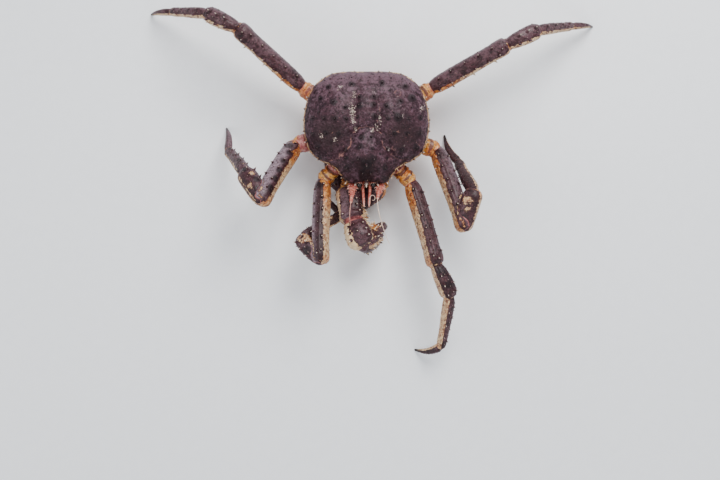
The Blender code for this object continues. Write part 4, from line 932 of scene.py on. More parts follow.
# Dark upper sides: the angle of their middle, how wide they are, and how dark.
DARK_SIDES = {
    "leg2_right_merus": (100, -0.1, 0.75), "leg3_right_merus": (128, -0.3, 0.45),
    "leg3_left_propodus": (128, 0.2, 0.55), "leg3_left_dactyl": (128, 0.2, 0.5),
    "leg2_left_merus": (95, -0.1, 0.4), "leg2_left_carpus": (100, 0.0, 0.45),
}
# Plates whose pale side has few dark dots.
CLEAN_PLATES = {
    "cheliped_right_carpus": 0.85, "cheliped_right_merus": 0.75, "leg2_right_merus": 0.35,
    "cheliped_right_palm": 0.4,
}
# More spines of a plate, which only this script has: angle, first and last share, how many,
# and length.
EXTRA_ROWS = {
    "cheliped_right_merus": ((170, 0.7, 0.93, 3, 0.006), (196, 0.76, 0.95, 3, 0.007)),
    "cheliped_right_carpus": ((160, 0.16, 0.42, 2, 0.0055), (184, 0.14, 0.56, 4, 0.007)),
    "cheliped_right_palm": (
        (200, 0.18, 0.46, 4, 0.0065), (176, 0.18, 0.46, 4, 0.006), (98, 0.1, 0.6, 8, 0.0045),
    ),
}

# How far the skin of a joint shows on the plate beyond it, where it shows more than a line.
SKIN_REACH = {
    "cheliped_right_carpus": 0.0095, "leg2_right_merus": 0.003, "leg2_left_merus": 0.0026,
    "leg3_left_merus": 0.0026, "leg3_right_merus": 0.003, "leg4_left_merus": 0.003,
    "leg4_right_merus": 0.0034, "cheliped_left_carpus": 0.0035,
}

# Shares between which a plate is covered in skin.
SKIN_BANDS = {"cheliped_right_merus": (1.01, 1.3), "cheliped_right_carpus": (-0.2, 0.15)}

# How finely each plate is built: points round it, and the distance between its rings.
FINENESS = {
    "coxa": (64, 0.001), "merus": (72, 0.0012), "carpus": (72, 0.001), "propodus": (56, 0.0011),
    "dactyl": (44, 0.001), "palm": (88, 0.001), "finger": (56, 0.0009),
}
RIDGES = {
    "merus": ((62, 0.0009), (118, 0.0009), (178, 0.0005)),
    "carpus": ((70, 0.0009), (122, 0.0009)),
    "propodus": ((72, 0.0005), (120, 0.0005), (200, 0.0004), (340, 0.0004)),
    "dactyl": ((90, 0.0004), (0, 0.0003), (180, 0.0003)),
    "palm": ((40, 0.0006), (140, 0.0006)),
    "finger": ((90, 0.0004),),
    "coxa": (),
}
CAP_RINGS = 12
SPINE_SHADE = (0.2, 0.6)              # how dark the painted shade round a spine is, and how far, in its lengths
GRANULE_SIZES = (0.0008, 0.0015)
GRANULE_HEIGHTS = (0.2, 0.5)         # in their own sizes
COLLAR = (0.004, 0.0012, 0.0008)     # before a joint: distance, half width and height
JOINT_LINE = (0.0014, 0.001)         # at a joint: half width and depth
PALE_RIM = (0.003, 0.0015, 0.55)     # before a joint: distance, half width and how pale
SKIN_FOLD = 0.0008                   # depth of the folds in a joint's skin
BASE_FOLD = 0.0009                   # and in the skin at a leg's root
PALE_BORDER = 0.28                   # half width of the border of the pale side, as a cosine
RIDGE_WIDTH = 0.16                   # in radians
PLATE_GRANULES = 68750               # per square metre of length times mean half thickness
SKIN_WRINKLE = 0.003                # between the folds of the skin at a leg's root
# How far out along its base that skin reaches.
MEMBRANES = {
    "leg2_right": 0.58, "leg3_right": 1.02, "leg3_left": 0.66, "leg4_left": 0.62, "leg4_right": 0.62,
    "cheliped_left": 0.44, "cheliped_right": 0.44,
}
# Raised and sunken rings of a coxa: share, height, half width.
COXA_RINGS = (
    (0.62, -0.0016, 0.025), (0.4, -0.0012, 0.02), (0.68, 0.0011, 0.03), (0.9, 0.001, 0.03),
    (0.47, 0.0008, 0.03), (0.3, 0.0006, 0.03),
)


def plate_grid(plate):
    """Shares, angles and local points of a plate's surface, with its two rounded ends."""
    around, spacing = FINENESS[plate.kind]
    angle = np.linspace(0, math.tau, around, endpoint=False)[None]
    share = np.linspace(0, 1, max(24, int(plate.length / spacing)))[:, None]
    bend = np.linspace(0, math.pi / 2, CAP_RINGS + 1)[1:-1, None]
    caps, ends = [], []
    for at, depth in ((0.0, -KNUCKLE_DEPTH), (1.0, END_DEPTH)):
        thick, deep, shift, rise = (float(v) for v in plate.section_at(at))
        across, up = section(angle, thick * np.cos(bend), deep * np.cos(bend))
        far = at * plate.length + depth * deep * np.sin(bend) + 0 * across
        caps.append(np.stack([far, plate.side * across + shift, up + rise], -1))
        ends.append(np.array([at * plate.length + depth * deep, shift, rise]))
    body = plate.surface(share + 0 * angle, angle + 0 * share)
    grid = np.concatenate([caps[0][::-1], body, caps[1]])
    return grid[..., 0] / plate.length, np.repeat(angle, len(grid), 0), grid, ends


def apart(angle, turn):
    """How far angles lie from another one, the shorter way round."""
    return (angle - turn + math.pi) % math.tau - math.pi


def places(first, last, count):
    """Shares spaced evenly from the first to the last."""
    return [first + (last - first) * k / max(1, count - 1) for k in range(count)]


def facing(side, angle):
    """How strongly angles face a side, given by its angle in degrees, spread and strength."""
    degrees, spread, strength = side
    return strength * ease(-spread, 1 - spread, np.cos(angle - math.radians(degrees)))


def surface_relief(plate, share, angle, world, inner, rows):
    """How far ridges and granules rise from a plate, and how much shade is painted round its spines."""
    rise, spot = 0.0003 * grain(world, 0.010, 1.0) + 0.0002 * grain(world, 0.004, 6.0), 0 * share
    for degrees, height in RIDGES[plate.kind]:
        rise += height * np.exp(-(apart(angle, math.radians(degrees)) / RIDGE_WIDTH) ** 2) * inner
    dark, reach = SPINE_SHADE
    for degrees, first, last, count, length in rows:
        for at in places(first, last, count):
            away = plate.away(share, angle, at, math.radians(degrees))
            spot = np.maximum(spot, dark * np.exp(-away / (length * reach) ** 2))
    for _ in range(int(plate.length * plate.around * PLATE_GRANULES)):
        at, turn = random.uniform(0.04, 0.97), random.uniform(0, math.tau)
        size = random.uniform(*GRANULE_SIZES)
        away = plate.away(share, angle, at, turn)
        rise += random.uniform(*GRANULE_HEIGHTS) * size * np.exp(-away / size ** 2)
    return rise, spot


def joint_relief(plate, before, after, share, world):
    """Collar, line and skin where a plate meets its neighbours: rise, skin and pale rim."""
    rise, crease, rim = 0 * share, 0 * share, 0 * share
    if after is not None:
        far = after.distance(world)
        (place, width, height), (line_width, depth) = COLLAR, JOINT_LINE
        rise += height * np.exp(-((far - place) / width) ** 2) - depth * np.exp(-(far / line_width) ** 2)
        crease = 1 - ease(0.0002, 0.0008, far)
        place, width, paleness = PALE_RIM
        rim = paleness * np.exp(-((far - place) / width) ** 2)
    if before is not None:
        reach = SKIN_REACH.get(plate.key, 0.0014)
        crease = np.maximum(crease, 1 - ease(reach * 0.4, reach, before.distance(world)))
    if plate.key in SKIN_BANDS:
        first, last = SKIN_BANDS[plate.key]
        band = ease(first - 0.03, first + 0.03, share) * (1 - ease(last - 0.03, last + 0.03, share))
        crease = np.maximum(crease, band)
        rise -= SKIN_FOLD * band * np.sin(share * plate.length * math.pi / SKIN_WRINKLE) ** 2
    return rise, crease, rim


def coxa_relief(plate, share, angle, world):
    """Rings and wrinkled skin of a leg's base: rise, dark crescents and skin."""
    bend = 0.05 * np.cos(2 * angle)
    rise = sum(height * np.exp(-((share + bend - at) / width) ** 2) for at, height, width in COXA_RINGS)
    spot = 0.9 * np.exp(-((share + 2 * bend - 0.5) / 0.07) ** 2) * ease(-0.4, 0.6, np.sin(angle))
    spot += 0.8 * np.exp(-((share + bend - 0.8) / 0.05) ** 2) * ease(0, 0.8, np.sin(angle + 0.5))
    reach = MEMBRANES.get(plate.name, 0.5)
    membrane = 1 - ease(reach - 0.12, reach, share + bend)
    wrinkle = share * plate.length / SKIN_WRINKLE + 0.8 * grain(world, 0.008, 15.0)
    fold = np.sin(math.pi * wrinkle) ** 2
    return rise - BASE_FOLD * membrane * fold, spot, membrane * (0.55 + 0.45 * fold)


def pale_and_dark(plate, share, angle, inner, rim, spot):
    """How pale a plate is, from its pale side, rim, edges and patches, and its dark spots."""
    middle, wider = plate.pale_side()
    if plate.kind == "merus":
        wider = wider + 0.45 * (0.35 - np.clip(share, 0, 1))
    belly = ease(-PALE_BORDER, PALE_BORDER, np.cos(angle - math.radians(middle)) + wider)
    belly = np.maximum(belly, rim)
    for degrees, width, strength in PALE_EDGES.get(plate.key, ()):
        line = np.exp(-(apart(angle, math.radians(degrees)) / width) ** 2)
        belly = np.maximum(belly, strength * line * inner)
    for at, degrees, size, strength in PATCHES.get(plate.key, ()):
        shape = np.exp(-plate.away(share, angle, at, math.radians(degrees)) / size ** 2)
        if strength > 0:
            belly = np.maximum(belly, strength * shape)
        else:
            spot = np.maximum(spot, -strength * shape)
            belly = belly * (1 + 0.8 * strength * shape)
    if plate.kind in ("palm", "finger"):
        belly = np.maximum(belly, 0.62 * ease(0.6, 0.95, share))
    return belly, spot


def warmth(kind, share, angle):
    """How orange the pale side of a plate is: most near the body, less beyond."""
    if kind == "coxa":
        return 1.0
    warm = 0.15 + 0.85 * (1 - ease(0.05, 0.55, share)) * (kind == "merus")
    warm += 0.35 * ease(0.8, 1, share)
    return warm + 0.6 * ease(0.2, 0.8, np.cos(angle - math.radians(200))) * (kind == "palm")


def horn_points(kind, share):
    """How far the dark horny point of a plate goes, on the two kinds that have one."""
    if kind == "dactyl":
        return ease(0.66, 0.97, share)
    return ease(0.92, 0.99, share) * 0.9 * (kind in ("palm", "finger"))


def dress_plate(plate, before, after, rows, skin):
    """Adds a plate's surface with its relief and paints."""
    share, angle, grid, ends = plate_grid(plate)
    world = plate.to_world(grid)
    inner = ease(-0.02, 0.06, share) * (1 - ease(0.97, 1.03, share))
    rise, spot = surface_relief(plate, share, angle, world, inner, rows)
    joint_rise, crease, rim = joint_relief(plate, before, after, share, world)
    rise += joint_rise
    if plate.kind == "coxa":
        base_rise, spot, membrane = coxa_relief(plate, share, angle, world)
        rise += base_rise
        crease = np.maximum(crease, membrane)
    belly, spot = pale_and_dark(plate, share, angle, inner, rim, spot)
    world = world + grid_normals(world) * -plate.side * rise[..., None]
    # Tone varies at random; the back of each plate is laid lighter, a painted sheen, and its underside
    # darker, painted shade.
    tone = 0.6 * grain(world, 0.030, 12.0) + 0.2 * np.sin(angle)
    tone -= facing(DARK_SIDES.get(plate.key, (90, 0, 0)), angle)
    # No point sinks below the floor.
    world[..., 2] = np.maximum(world[..., 2], 0)
    points = plate.to_world(np.array(ends))
    points[:, 2] = np.maximum(points[:, 2], 0)
    # The outer flanks get a lilac grey that is mostly a painted wet sheen, the sky's reflection.
    skin.add(world, start=points[0], end=points[1], belly=belly, crease=crease, tone=tone,
             spot=spot, horn=horn_points(plate.kind, share),
             warm=warmth(plate.kind, share, angle), clean=CLEAN_PLATES.get(plate.key, 0),
             lilac=facing(FLANK_SHEEN_SIDES.get(plate.key, FLANK_SHEEN_SIDE), angle))


def add_plate_spines(plate, neighbours, rows, main, skin):
    """Adds rows of spines, but for those that would reach a neighbouring plate."""
    middle, _ = plate.pale_side()
    for degrees, first, last, count, length in rows:
        for at in places(first, last, count):
            at += random.uniform(-0.012, 0.012) if count > 1 else 0.0
            turn = math.radians(degrees + random.uniform(-5, 5))
            tall = length * random.uniform(0.85, 1.12)
            foot = plate.surface(np.array(at), np.array(turn))
            out = np.array([LIMB_SPINE_LEAN, plate.side * math.cos(turn), math.sin(turn)])
            out /= np.linalg.norm(out)
            ends = plate.to_world(np.array([foot, foot + out * tall]))
            if any((other.distance(ends) < SPINE_CLEARANCE).any() for other in neighbours):
                continue
            shade = float(ease(-PALE_BORDER, PALE_BORDER, math.cos(turn - math.radians(middle)) - 0.1))
            if not main and length >= PALE_SPINE:
                shade = 1.6
            claw = plate.kind in ("palm", "finger")
            add_spine(skin, Vector(ends[0]), Vector(plate.turn @ out), tall,
                      tall / LIMB_SPINE_SLENDERNESS * 0.7, sides=14 if main else 8,
                      lean=plate.run, tip=SPINE_TIPS.get(plate.name, 0.72),
                      belly=max(shade, 0.8 * claw) * 0.6, spot=0.12)


def add_bead(skin, centre, along, out, size, **paints):
    """A rounded tooth: size is its half length along, half width and height."""
    z = out.normalized()
    bend = np.linspace(-0.45, math.pi / 2, 7)[:-1, None]
    turn = np.linspace(0, math.tau, 12, endpoint=False)[None]
    local = np.stack([np.cos(bend) * np.cos(turn) * size[0], np.cos(bend) * np.sin(turn) * size[1],
                      np.sin(bend) * size[2] + 0 * turn], -1)
    grid = local @ np.array([along.normalized(), z.cross(along).normalized(), z]) + np.array(centre)
    skin.add(grid, end=np.array(centre) + np.array(z) * size[2], **paints)


def add_teeth(skin, plate, turn, first, last, count):
    """A row of pale rounded teeth along the cutting edge of a claw."""
    for k, at in enumerate(places(first, last, count)):
        size = plate.half_thick * 0.17 * (1 - 0.45 * k / count) * random.uniform(0.85, 1.15)
        foot = plate.surface(np.array(at), np.array(turn))
        out = Vector(plate.turn @ np.array([0, plate.side * math.cos(turn), math.sin(turn)]))
        add_bead(skin, plate.to_world(foot), plate.run, out, (size * 1.2, size, size * 0.9), tip=1.0)


def build_limb(name, side, kinds, frames, sizes, rows, materials):
    """Builds a piece for each plate of a limb."""
    plates = [Plate(name, kind, side, (length, *sizes[kind][1:]), matrix)
              for kind, (matrix, length) in zip(kinds, frames)]
    for k, plate in enumerate(plates):
        skin = Skin()
        before = plates[k - 1] if k else None
        after = plates[k + 1] if k + 1 < len(plates) else None
        main_rows = rows[plate.kind]
        more_rows = (*FINE_ROWS[plate.kind], *EXTRA_ROWS.get(plate.key, ()))
        dress_plate(plate, before, after, (*main_rows, *more_rows), skin)
        neighbours = [other for other in (before, after) if other is not None]
        add_plate_spines(plate, neighbours, main_rows, True, skin)
        add_plate_spines(plate, neighbours, more_rows, False, skin)
        if plate.kind == "palm":
            add_teeth(skin, plate, math.radians(182), 0.66, 0.94, 7)
        if plate.kind == "finger":
            add_teeth(skin, plate, math.radians(-62), 0.22, 0.92, 8)
        base = plate.kind == "coxa"
        skin.piece(f"shell_{plate.key}", materials["joint" if base else "leg"],
                   "pale_shell" if base else "leg_shell", plate.key)


def build_walking_leg(name, origin, materials):
    """Coxa, merus, carpus, propodus and dactyl; the dactyl slopes down to reach the floor."""
    coxa_root, coxa_end, *turns, dactyl_heading, roll = WALKING_LEGS[name]
    side = 1 if name.endswith("left") else -1
    sizes = LIMB_SIZES[name.split("_")[0]]
    lengths = [sizes[kind][0] for kind in list(sizes)[1:]]
    height = coxa_end[2]
    for (_, pitch), length in zip(turns, lengths):
        height += math.sin(math.radians(pitch)) * length
    drop = (height + FOOT_SUNK - FOOT_RADIUS) / lengths[-1]
    turns.append((dactyl_heading, -math.degrees(math.asin(drop))))
    frames = limb_frames(side, coxa_root, coxa_end, turns, lengths, roll, origin)
    build_limb(name, side, list(sizes), frames, sizes, SPINE_ROWS, materials)


def build_cheliped(name, origin, materials):
    """Coxa, merus, carpus, palm with its fixed finger, and the finger that moves in life."""
    coxa_root, coxa_end, *turns, roll = CHELIPEDS[name]
    side = 1 if name.endswith("left") else -1
    sizes = LIMB_SIZES[name]
    lengths = [sizes[kind][0] for kind in list(sizes)[1:4]]
    frames = limb_frames(side, coxa_root, coxa_end, turns, lengths, roll, origin)
    palm_matrix, palm_length = frames[-1]
    hinge = Vector((FINGER_HINGE[0] * palm_length, side * FINGER_HINGE[1] * sizes["palm"][1], 0))
    closing = Matrix.Rotation(math.radians(side * FINGER_CLOSING), 4, "Z")
    inward = Matrix.Rotation(math.radians(side * FINGER_ROLL), 4, "X")
    frames.append((palm_matrix @ Matrix.Translation(hinge) @ closing @ inward,
                   sizes["finger"][0]))
    rows = {**CHELIPED_SPINE_ROWS, **(FOLDED_SPINE_ROWS if side > 0 else {})}
    build_limb(name, side, list(sizes), frames, sizes, rows, materials)


# ---------------------------------------------------------------- head parts
def tube_frame(path, side, share):
    """Centre, run, outward and up directions and radius of a tube at a share of its path."""
    out, back, height, radius = curve(path, share)
    ahead = curve(path, min(1.0, share + 0.02))
    behind = curve(path, max(0.0, share - 0.02))
    run = Vector((side * (ahead[0] - behind[0]), ahead[1] - behind[1],
                  ahead[2] - behind[2])).normalized()
    up = run.cross(Vector((1, 0, 0))).normalized()
    return Vector((side * out, back, height)), run, side * up.cross(run), up, float(radius)


def add_tube(skin, path, side, shares, sides, origin, joints=(), joint_width=1.0, pinch=0.0,
             thinning=0.0, mottled=False, **paints):
    """Adds a tube of rings at shares of its path, drawn in at its joints and by thinning."""
    frames = [tube_frame(path, side, float(share)) for share in shares]
    turn = np.linspace(0, math.tau, sides, endpoint=False)[:, None]
    grid = np.array([np.array(centre + origin) + radius * (np.cos(turn) * np.array(outward)
                                                           + np.sin(turn) * np.array(up))
                     for centre, _, outward, up, radius in frames])
    ends = [centre + origin + run * radius * TUBE_END * sign
            for sign, (centre, run, _, _, radius) in ((-1, frames[0]), (1, frames[-1]))]
    joint = sum((np.exp(-((shares - at) / joint_width) ** 2) for at in joints), 0 * shares)
    joint = np.clip(joint, 0, 1)
    middle = grid.mean(1, keepdims=True)
    grid = middle + (grid - middle) * (1 - pinch * joint - thinning)[:, None, None]
    if mottled:
        paints["tone"] = grain(grid, 0.008, 3.0)
    skin.add(grid, start=ends[0], end=ends[1], crease=joint[:, None], **paints)


def add_tube_spine(skin, path, side, origin, share, degrees, length, radius, ahead, stiff=False,
                   **paints):
    """Adds a spine or bristle, which leans ahead along the tube that it grows on."""
    centre, run, outward, up, thick = tube_frame(path, side, share)
    angle = math.radians(degrees)
    out = outward * math.cos(angle) + up * math.sin(angle)
    add_spine(skin, centre + origin + out * thick * 0.9, out + run * ahead, length, radius,
              lean=None if stiff else run, **paints)


def build_eye(side, word, origin, materials):
    """A stalk with a glossy black cornea on it."""
    skin = Skin()
    add_tube(skin, EYE_PATH, side, np.linspace(0, 0.54, 20), 32, origin, tone=0.2)
    bend = np.linspace(-1.35, 1.45, 28)[:, None]
    turn = np.linspace(0, math.tau, 40, endpoint=False)[None]
    centre, run, outward, up, radius = tube_frame(EYE_PATH, side, 0.74)
    local = np.stack([np.sin(bend) * 1.18 + 0 * turn, np.cos(bend) * np.cos(turn),
                      np.cos(bend) * np.sin(turn)], -1) * radius
    grid = local @ np.array([run, outward, up]) + np.array(centre + origin)
    tips = [centre + origin + run * radius * 1.18 * s for s in (-1, 1)]
    skin.add(grid, start=tips[0], end=tips[1], kind=1)
    for share, degrees, length in STALK_SPINES:
        add_tube_spine(skin, EYE_PATH, side, origin, share, degrees, length, length / 3.2, 0.9,
                       sides=10, tip=0.7)
    skin.piece(f"eye_{word}_stalk_and_cornea", materials["eye"], "eye_black", f"eye_{word}")


def build_antenna(side, word, origin, materials):
    """A spiny jointed base and a long whip with fine rings."""
    skin = Skin()
    shares = np.concatenate([np.linspace(0, 0.36, 90), np.linspace(0.362, 1, 260)])
    whip = ease(0.33, 0.4, shares)
    rings = 0.1 * (np.sin(shares * 900) > 0.4)
    add_tube(skin, ANTENNA_PATHS[word], side, shares, 28, origin, (0.118, 0.205, 0.31, 0.352),
             0.006, 0.16, (rings + WHIP_THINNING) * whip, belly=whip[:, None] * WHIP_PALENESS[word])
    for share, degrees, length in (*ANTENNA_SPINES, *ANTENNA_FAN):
        add_tube_spine(skin, ANTENNA_PATHS[word], side, origin, share, degrees, length,
                       length / 3, 0.8, sides=10, tip=0.55)
    skin.piece(f"antenna_{word}_base_and_whip", materials["feeler"], "red_feeler",
               f"antenna_{word}")


def build_antennule(side, word, origin, materials):
    """A jointed feeler; the left one ends in a curl."""
    skin = Skin()
    shares = np.linspace(0, 1, 110)
    add_tube(skin, ANTENNULE_PATH, side, shares, 20, origin, (0.3, 0.55, 0.8), 0.012, 0.22,
             belly=0.25 * ease(0.7, 1, shares)[:, None])
    if word == "left":
        add_tube(skin, CURL_PATH, side, np.linspace(0, 1, 80), 12, origin, belly=0.9)
    skin.piece(f"antennule_{word}_jointed", materials["feeler"], "red_feeler", f"antennule_{word}")


def build_maxilliped(side, word, origin, materials):
    """An outer mouth leg: jointed, with bristles along its inner edge."""
    skin = Skin()
    add_tube(skin, MAXILLIPED_PATH, side, np.linspace(0, 1, 120), 40, origin,
             (0.16, 0.46, 0.64, 0.84), 0.01, 0.16, mottled=True)
    for _ in range(150):
        share, degrees = random.uniform(0.4, 0.99), random.uniform(120, 260)
        length, ahead = random.uniform(0.0022, 0.0042), random.uniform(0.4, 1.2)
        add_tube_spine(skin, MAXILLIPED_PATH, side, origin, share, degrees, length, 0.00022,
                       ahead, stiff=True, sides=5, kind=1)
    skin.piece(f"maxilliped_{word}_with_bristles", materials["mouth"], "pale_shell",
               f"maxilliped_{word}")


# ---------------------------------------------------------------- materials
class Value:
    """A socket of a material's tree; arithmetic with it adds nodes."""

    def __init__(self, wiring, socket):
        self.wiring, self.socket = wiring, socket

    def __add__(self, other):
        return self.wiring.maths("ADD", self, other)

    def __sub__(self, other):
        return self.wiring.maths("SUBTRACT", self, other)

    def __mul__(self, other):
        return self.wiring.maths("MULTIPLY", self, other)

    def step(self, low, high):
        """0 below low, 1 above high, smooth between; the other way if low is above high."""
        inputs = {"Value": self, "From Min": low, "From Max": high}
        return self.wiring.node("MapRange", "Result", inputs, interpolation_type="SMOOTHSTEP")


class Wiring:
    """A material's node tree, with short calls for the nodes that these materials use."""

    def __init__(self, name):
        self.material = bpy.data.materials.new(name)
        self.material.use_nodes = True
        self.tree = self.material.node_tree
        self.shader = self.tree.nodes["Principled BSDF"]
        self.place = self.node("TexCoord", "Object", {})

    def node(self, kind, output, inputs, **settings):
        """Adds a node with settings and inputs, which are values, numbers or colours."""
        node = self.tree.nodes.new("ShaderNode" + kind)
        for setting, chosen in settings.items():
            setattr(node, setting, chosen)
        for key, value in inputs.items():
            self.link(value, node.inputs[key])
        return Value(self, node.outputs[output])

    def link(self, value, socket):
        if isinstance(value, Value):
            self.tree.links.new(value.socket, socket)
        else:
            socket.default_value = (*value, 1.0) if isinstance(value, tuple) else value

    def maths(self, operation, a, b):
        return self.node("Math", 0, {0: a, 1: b}, operation=operation)

    def paint(self, name):
        return self.node("Attribute", "Fac", {}, attribute_name=name)

    def noise(self, size, detail=4.0, roughness=0.6):
        """Noise from 0 to 1 with features of a size in metres."""
        return self.node("TexNoise", "Fac", {"Vector": self.place, "Scale": 1 / size,
                                             "Detail": detail, "Roughness": roughness})

    def cells(self, size, randomness=1.0):
        """Distance from the middle of the nearest of many cells, of a size in metres."""
        return self.node("TexVoronoi", "Distance", {"Vector": self.place, "Scale": 1 / size,
                                                    "Randomness": randomness})

    def mix(self, share, a, b):
        """Colour a where share is 0, and b where it is 1."""
        return self.node("Mix", 2, {0: share, 6: a, 7: b}, data_type="RGBA", clamp_factor=True)

    def finish(self, colour, roughness, height, depth, strength, **constants):
        """Joins colour, roughness and a bump to the shader, and sets its constants."""
        bump = {"Height": height, "Distance": depth, "Strength": strength}
        self.link(self.node("Bump", "Normal", bump), self.shader.inputs["Normal"])
        self.link(colour, self.shader.inputs["Base Color"])
        self.link(roughness, self.shader.inputs["Roughness"])
        for name, value in constants.items():
            self.shader.inputs[name.replace("_", " ")].default_value = value
        return self.material


RUSTY = (0.13, 0.026, 0.02)


def shell_material(name, deep, mid, sheen, speck, gloss):
    """Dark crab shell: mottled, with painted sheen, darkest round its spines in painted shade, pale
    below, with fleshy joints.
    """
    w = Wiring(name)
    broad, middle = w.noise(0.028, 5), w.noise(0.0095, 5, 0.65)
    fine, tiny = w.noise(0.004, 7, 0.7), w.noise(0.0014)
    tone, dirty, black = w.paint("tone"), w.paint("clean").step(1.25, 0), (0.012, 0.005, 0.008)
    ragged = (fine - 0.5) * 1.3
    colour = w.mix(broad.step(0.38, 0.62), deep, mid)
    # A pale mottled cloud in the sheen colour: a painted sheen where the tone is high, as towards the
    # carapace's tail and on the backs of the plates.
    colour = w.mix((tone * 0.22 + middle).step(0.47, 0.64) * 0.88, colour, sheen)
    colour = w.mix(fine.step(0.5, 0.66) * 0.65, colour, sheen)
    colour = w.mix(fine.step(0.5, 0.36) * 0.78, colour, black)
    colour = w.mix(tone.step(-0.05, -0.9) * 0.7, colour, (0.024, 0.008, 0.01))
    # A lilac grey on the outer flanks, mostly a painted wet sheen that reflects the sky.
    sheen_streaks = fine.step(0.36, 0.6) * 0.55 + 0.18
    colour = w.mix(w.paint("lilac") * sheen_streaks, colour, (0.31, 0.235, 0.275))
    # Dark spots: painted shade round the feet of the spines, with the darker granules and dark patches.
    colour = w.mix((w.paint("spot") + ragged).step(0.22, 0.62) * 0.8, colour, black)
    seam = (w.paint("seam") + ragged + (middle - 0.5) * 2.4).step(0.5, 1.05)
    colour = w.mix(seam * w.noise(0.013, 3).step(0.4, 0.58) * 0.62, colour, (0.36, 0.18, 0.145))
    specks = w.cells(0.0036).step(0.2, 0.1) * middle.step(0.5, 0.58)
    colour = w.mix(specks * 0.6, colour, speck)
    # The pale side: orange near the body and at the joints, cream further out, dotted dark.
    cream = w.mix(middle.step(0.4, 0.62), (0.62, 0.45, 0.27), (0.5, 0.3, 0.165))
    orange = w.mix(middle.step(0.38, 0.62), (0.56, 0.26, 0.075), (0.44, 0.135, 0.035))
    cream = w.mix((w.paint("warm") + (broad - 0.5)).step(0.2, 0.75), cream, orange)
    cream = w.mix(fine.step(0.52, 0.66) * 0.7, cream, (0.72, 0.62, 0.5))
    plain = w.mix(middle.step(0.4, 0.64), (0.76, 0.62, 0.42), (0.6, 0.4, 0.22))
    cream = w.mix(dirty.step(0.9, 0), cream, plain)
    dots = w.cells(0.0034).step(0.34, 0.24) * fine.step(0.36, 0.46)
    cream = w.mix(dots * dirty * 0.85, cream, RUSTY)
    cream = w.mix(w.noise(0.0062, 6, 0.7).step(0.5, 0.58) * dirty * 0.8, cream, RUSTY)
    edge = w.paint("belly") + (w.noise(0.0075, 6, 0.7) - 0.5) * 2.3
    border = edge.step(0.26, 0.46) * edge.step(0.62, 0.5)
    colour = w.mix(border * 0.8, colour, (0.045, 0.012, 0.012))
    colour = w.mix(edge.step(0.48, 0.6), colour, cream)
    # Skin in the joints, worn flecks, pale spine tips, partly a painted highlight, and dark horny points.
    flesh = w.mix(middle.step(0.42, 0.58), (0.13, 0.026, 0.03), (0.36, 0.135, 0.125))
    colour = w.mix((w.paint("crease") + fine * 0.45).step(0.55, 0.92), colour, flesh)
    worn = w.paint("fleck") * w.noise(0.0042, 5, 0.75).step(0.5, 0.62)
    colour = w.mix(worn.step(0.34, 0.95), colour, (0.56, 0.49, 0.44))
    colour = w.mix(w.paint("tip").step(0.28, 0.95), colour, (0.74, 0.64, 0.54))
    colour = w.mix(w.paint("horn"), colour, (0.02, 0.012, 0.012))
    height = w.cells(0.0021) * 0.9 + fine * 1.4 + tiny * 0.5
    return w.finish(colour, fine * 0.3 + (0.5 - 0.22 * gloss), height, 0.0006, 0.8,
                    Coat_Weight=0.22 * gloss, Coat_Roughness=0.3 - 0.12 * gloss,
                    Specular_IOR_Level=0.4)


def joint_material(name):
    """Leg bases, underside and tail: cream to orange, with dark red crescents and folds."""
    w = Wiring(name)
    broad, middle, fine = w.noise(0.018, 5), w.noise(0.008, 5), w.noise(0.0038, 6, 0.65)
    colour = w.mix(broad.step(0.38, 0.62), (0.6, 0.32, 0.085), (0.44, 0.135, 0.028))
    colour = w.mix(middle.step(0.54, 0.68) * 0.8, colour, (0.66, 0.46, 0.25))
    colour = w.mix(fine.step(0.52, 0.62) * 0.8, colour, (0.13, 0.026, 0.018))
    dots = w.cells(0.0038).step(0.26, 0.16) * middle.step(0.42, 0.52)
    colour = w.mix(dots * 0.75, colour, RUSTY)
    dark = w.paint("spot") + (middle - 0.5) * 2.0
    colour = w.mix(dark.step(0.25, 0.6) * 0.88, colour, (0.075, 0.016, 0.016))
    flesh = w.mix(middle.step(0.4, 0.6), (0.3, 0.08, 0.09), (0.52, 0.235, 0.225))
    colour = w.mix((w.paint("crease") + fine * 0.35).step(0.45, 0.95), colour, flesh)
    colour = w.mix(w.paint("tone").step(0.1, 0.6) * 0.35, colour, (0.4, 0.12, 0.085))
    # Pale spine tips, partly a painted highlight.
    colour = w.mix(w.paint("tip"), colour, (0.78, 0.64, 0.5))
    return w.finish(colour, fine * 0.25 + 0.3, w.cells(0.002) + fine * 1.5, 0.0005, 0.7,
                    Coat_Weight=0.25, Coat_Roughness=0.18, Subsurface_Weight=0.08,
                    Subsurface_Radius=(0.004, 0.002, 0.001))


def feeler_material(name):
    """Antennae: coral red with pale spine tips, partly a painted highlight, and a pale whip."""
    w = Wiring(name)
    fine = w.noise(0.003, 5)
    colour = w.mix(fine.step(0.38, 0.64), (0.34, 0.075, 0.062), (0.61, 0.25, 0.195))
    colour = w.mix(w.paint("crease").step(0.3, 0.9), colour, (0.7, 0.38, 0.28))
    colour = w.mix(w.paint("belly"), colour, (0.72, 0.58, 0.48))
    colour = w.mix(w.paint("tip").step(0.25, 0.9), colour, (0.86, 0.76, 0.66))
    return w.finish(colour, fine * 0.2 + 0.3, fine, 0.0004, 0.7, Coat_Weight=0.3,
                    Coat_Roughness=0.15, Subsurface_Weight=0.1,
                    Subsurface_Radius=(0.003, 0.001, 0.0008))


def cornea_material(name):
    """Glossy black eye with fine facets."""
    w = Wiring(name)
    facets = w.cells(0.00035, 0.2)
    colour = w.mix(facets, (0.004, 0.003, 0.004), (0.016, 0.01, 0.01))
    return w.finish(colour, w.maths("MAXIMUM", facets, 0.12), facets, 0.00004, 0.4,
                    Coat_Weight=0.8, Coat_Roughness=0.04)


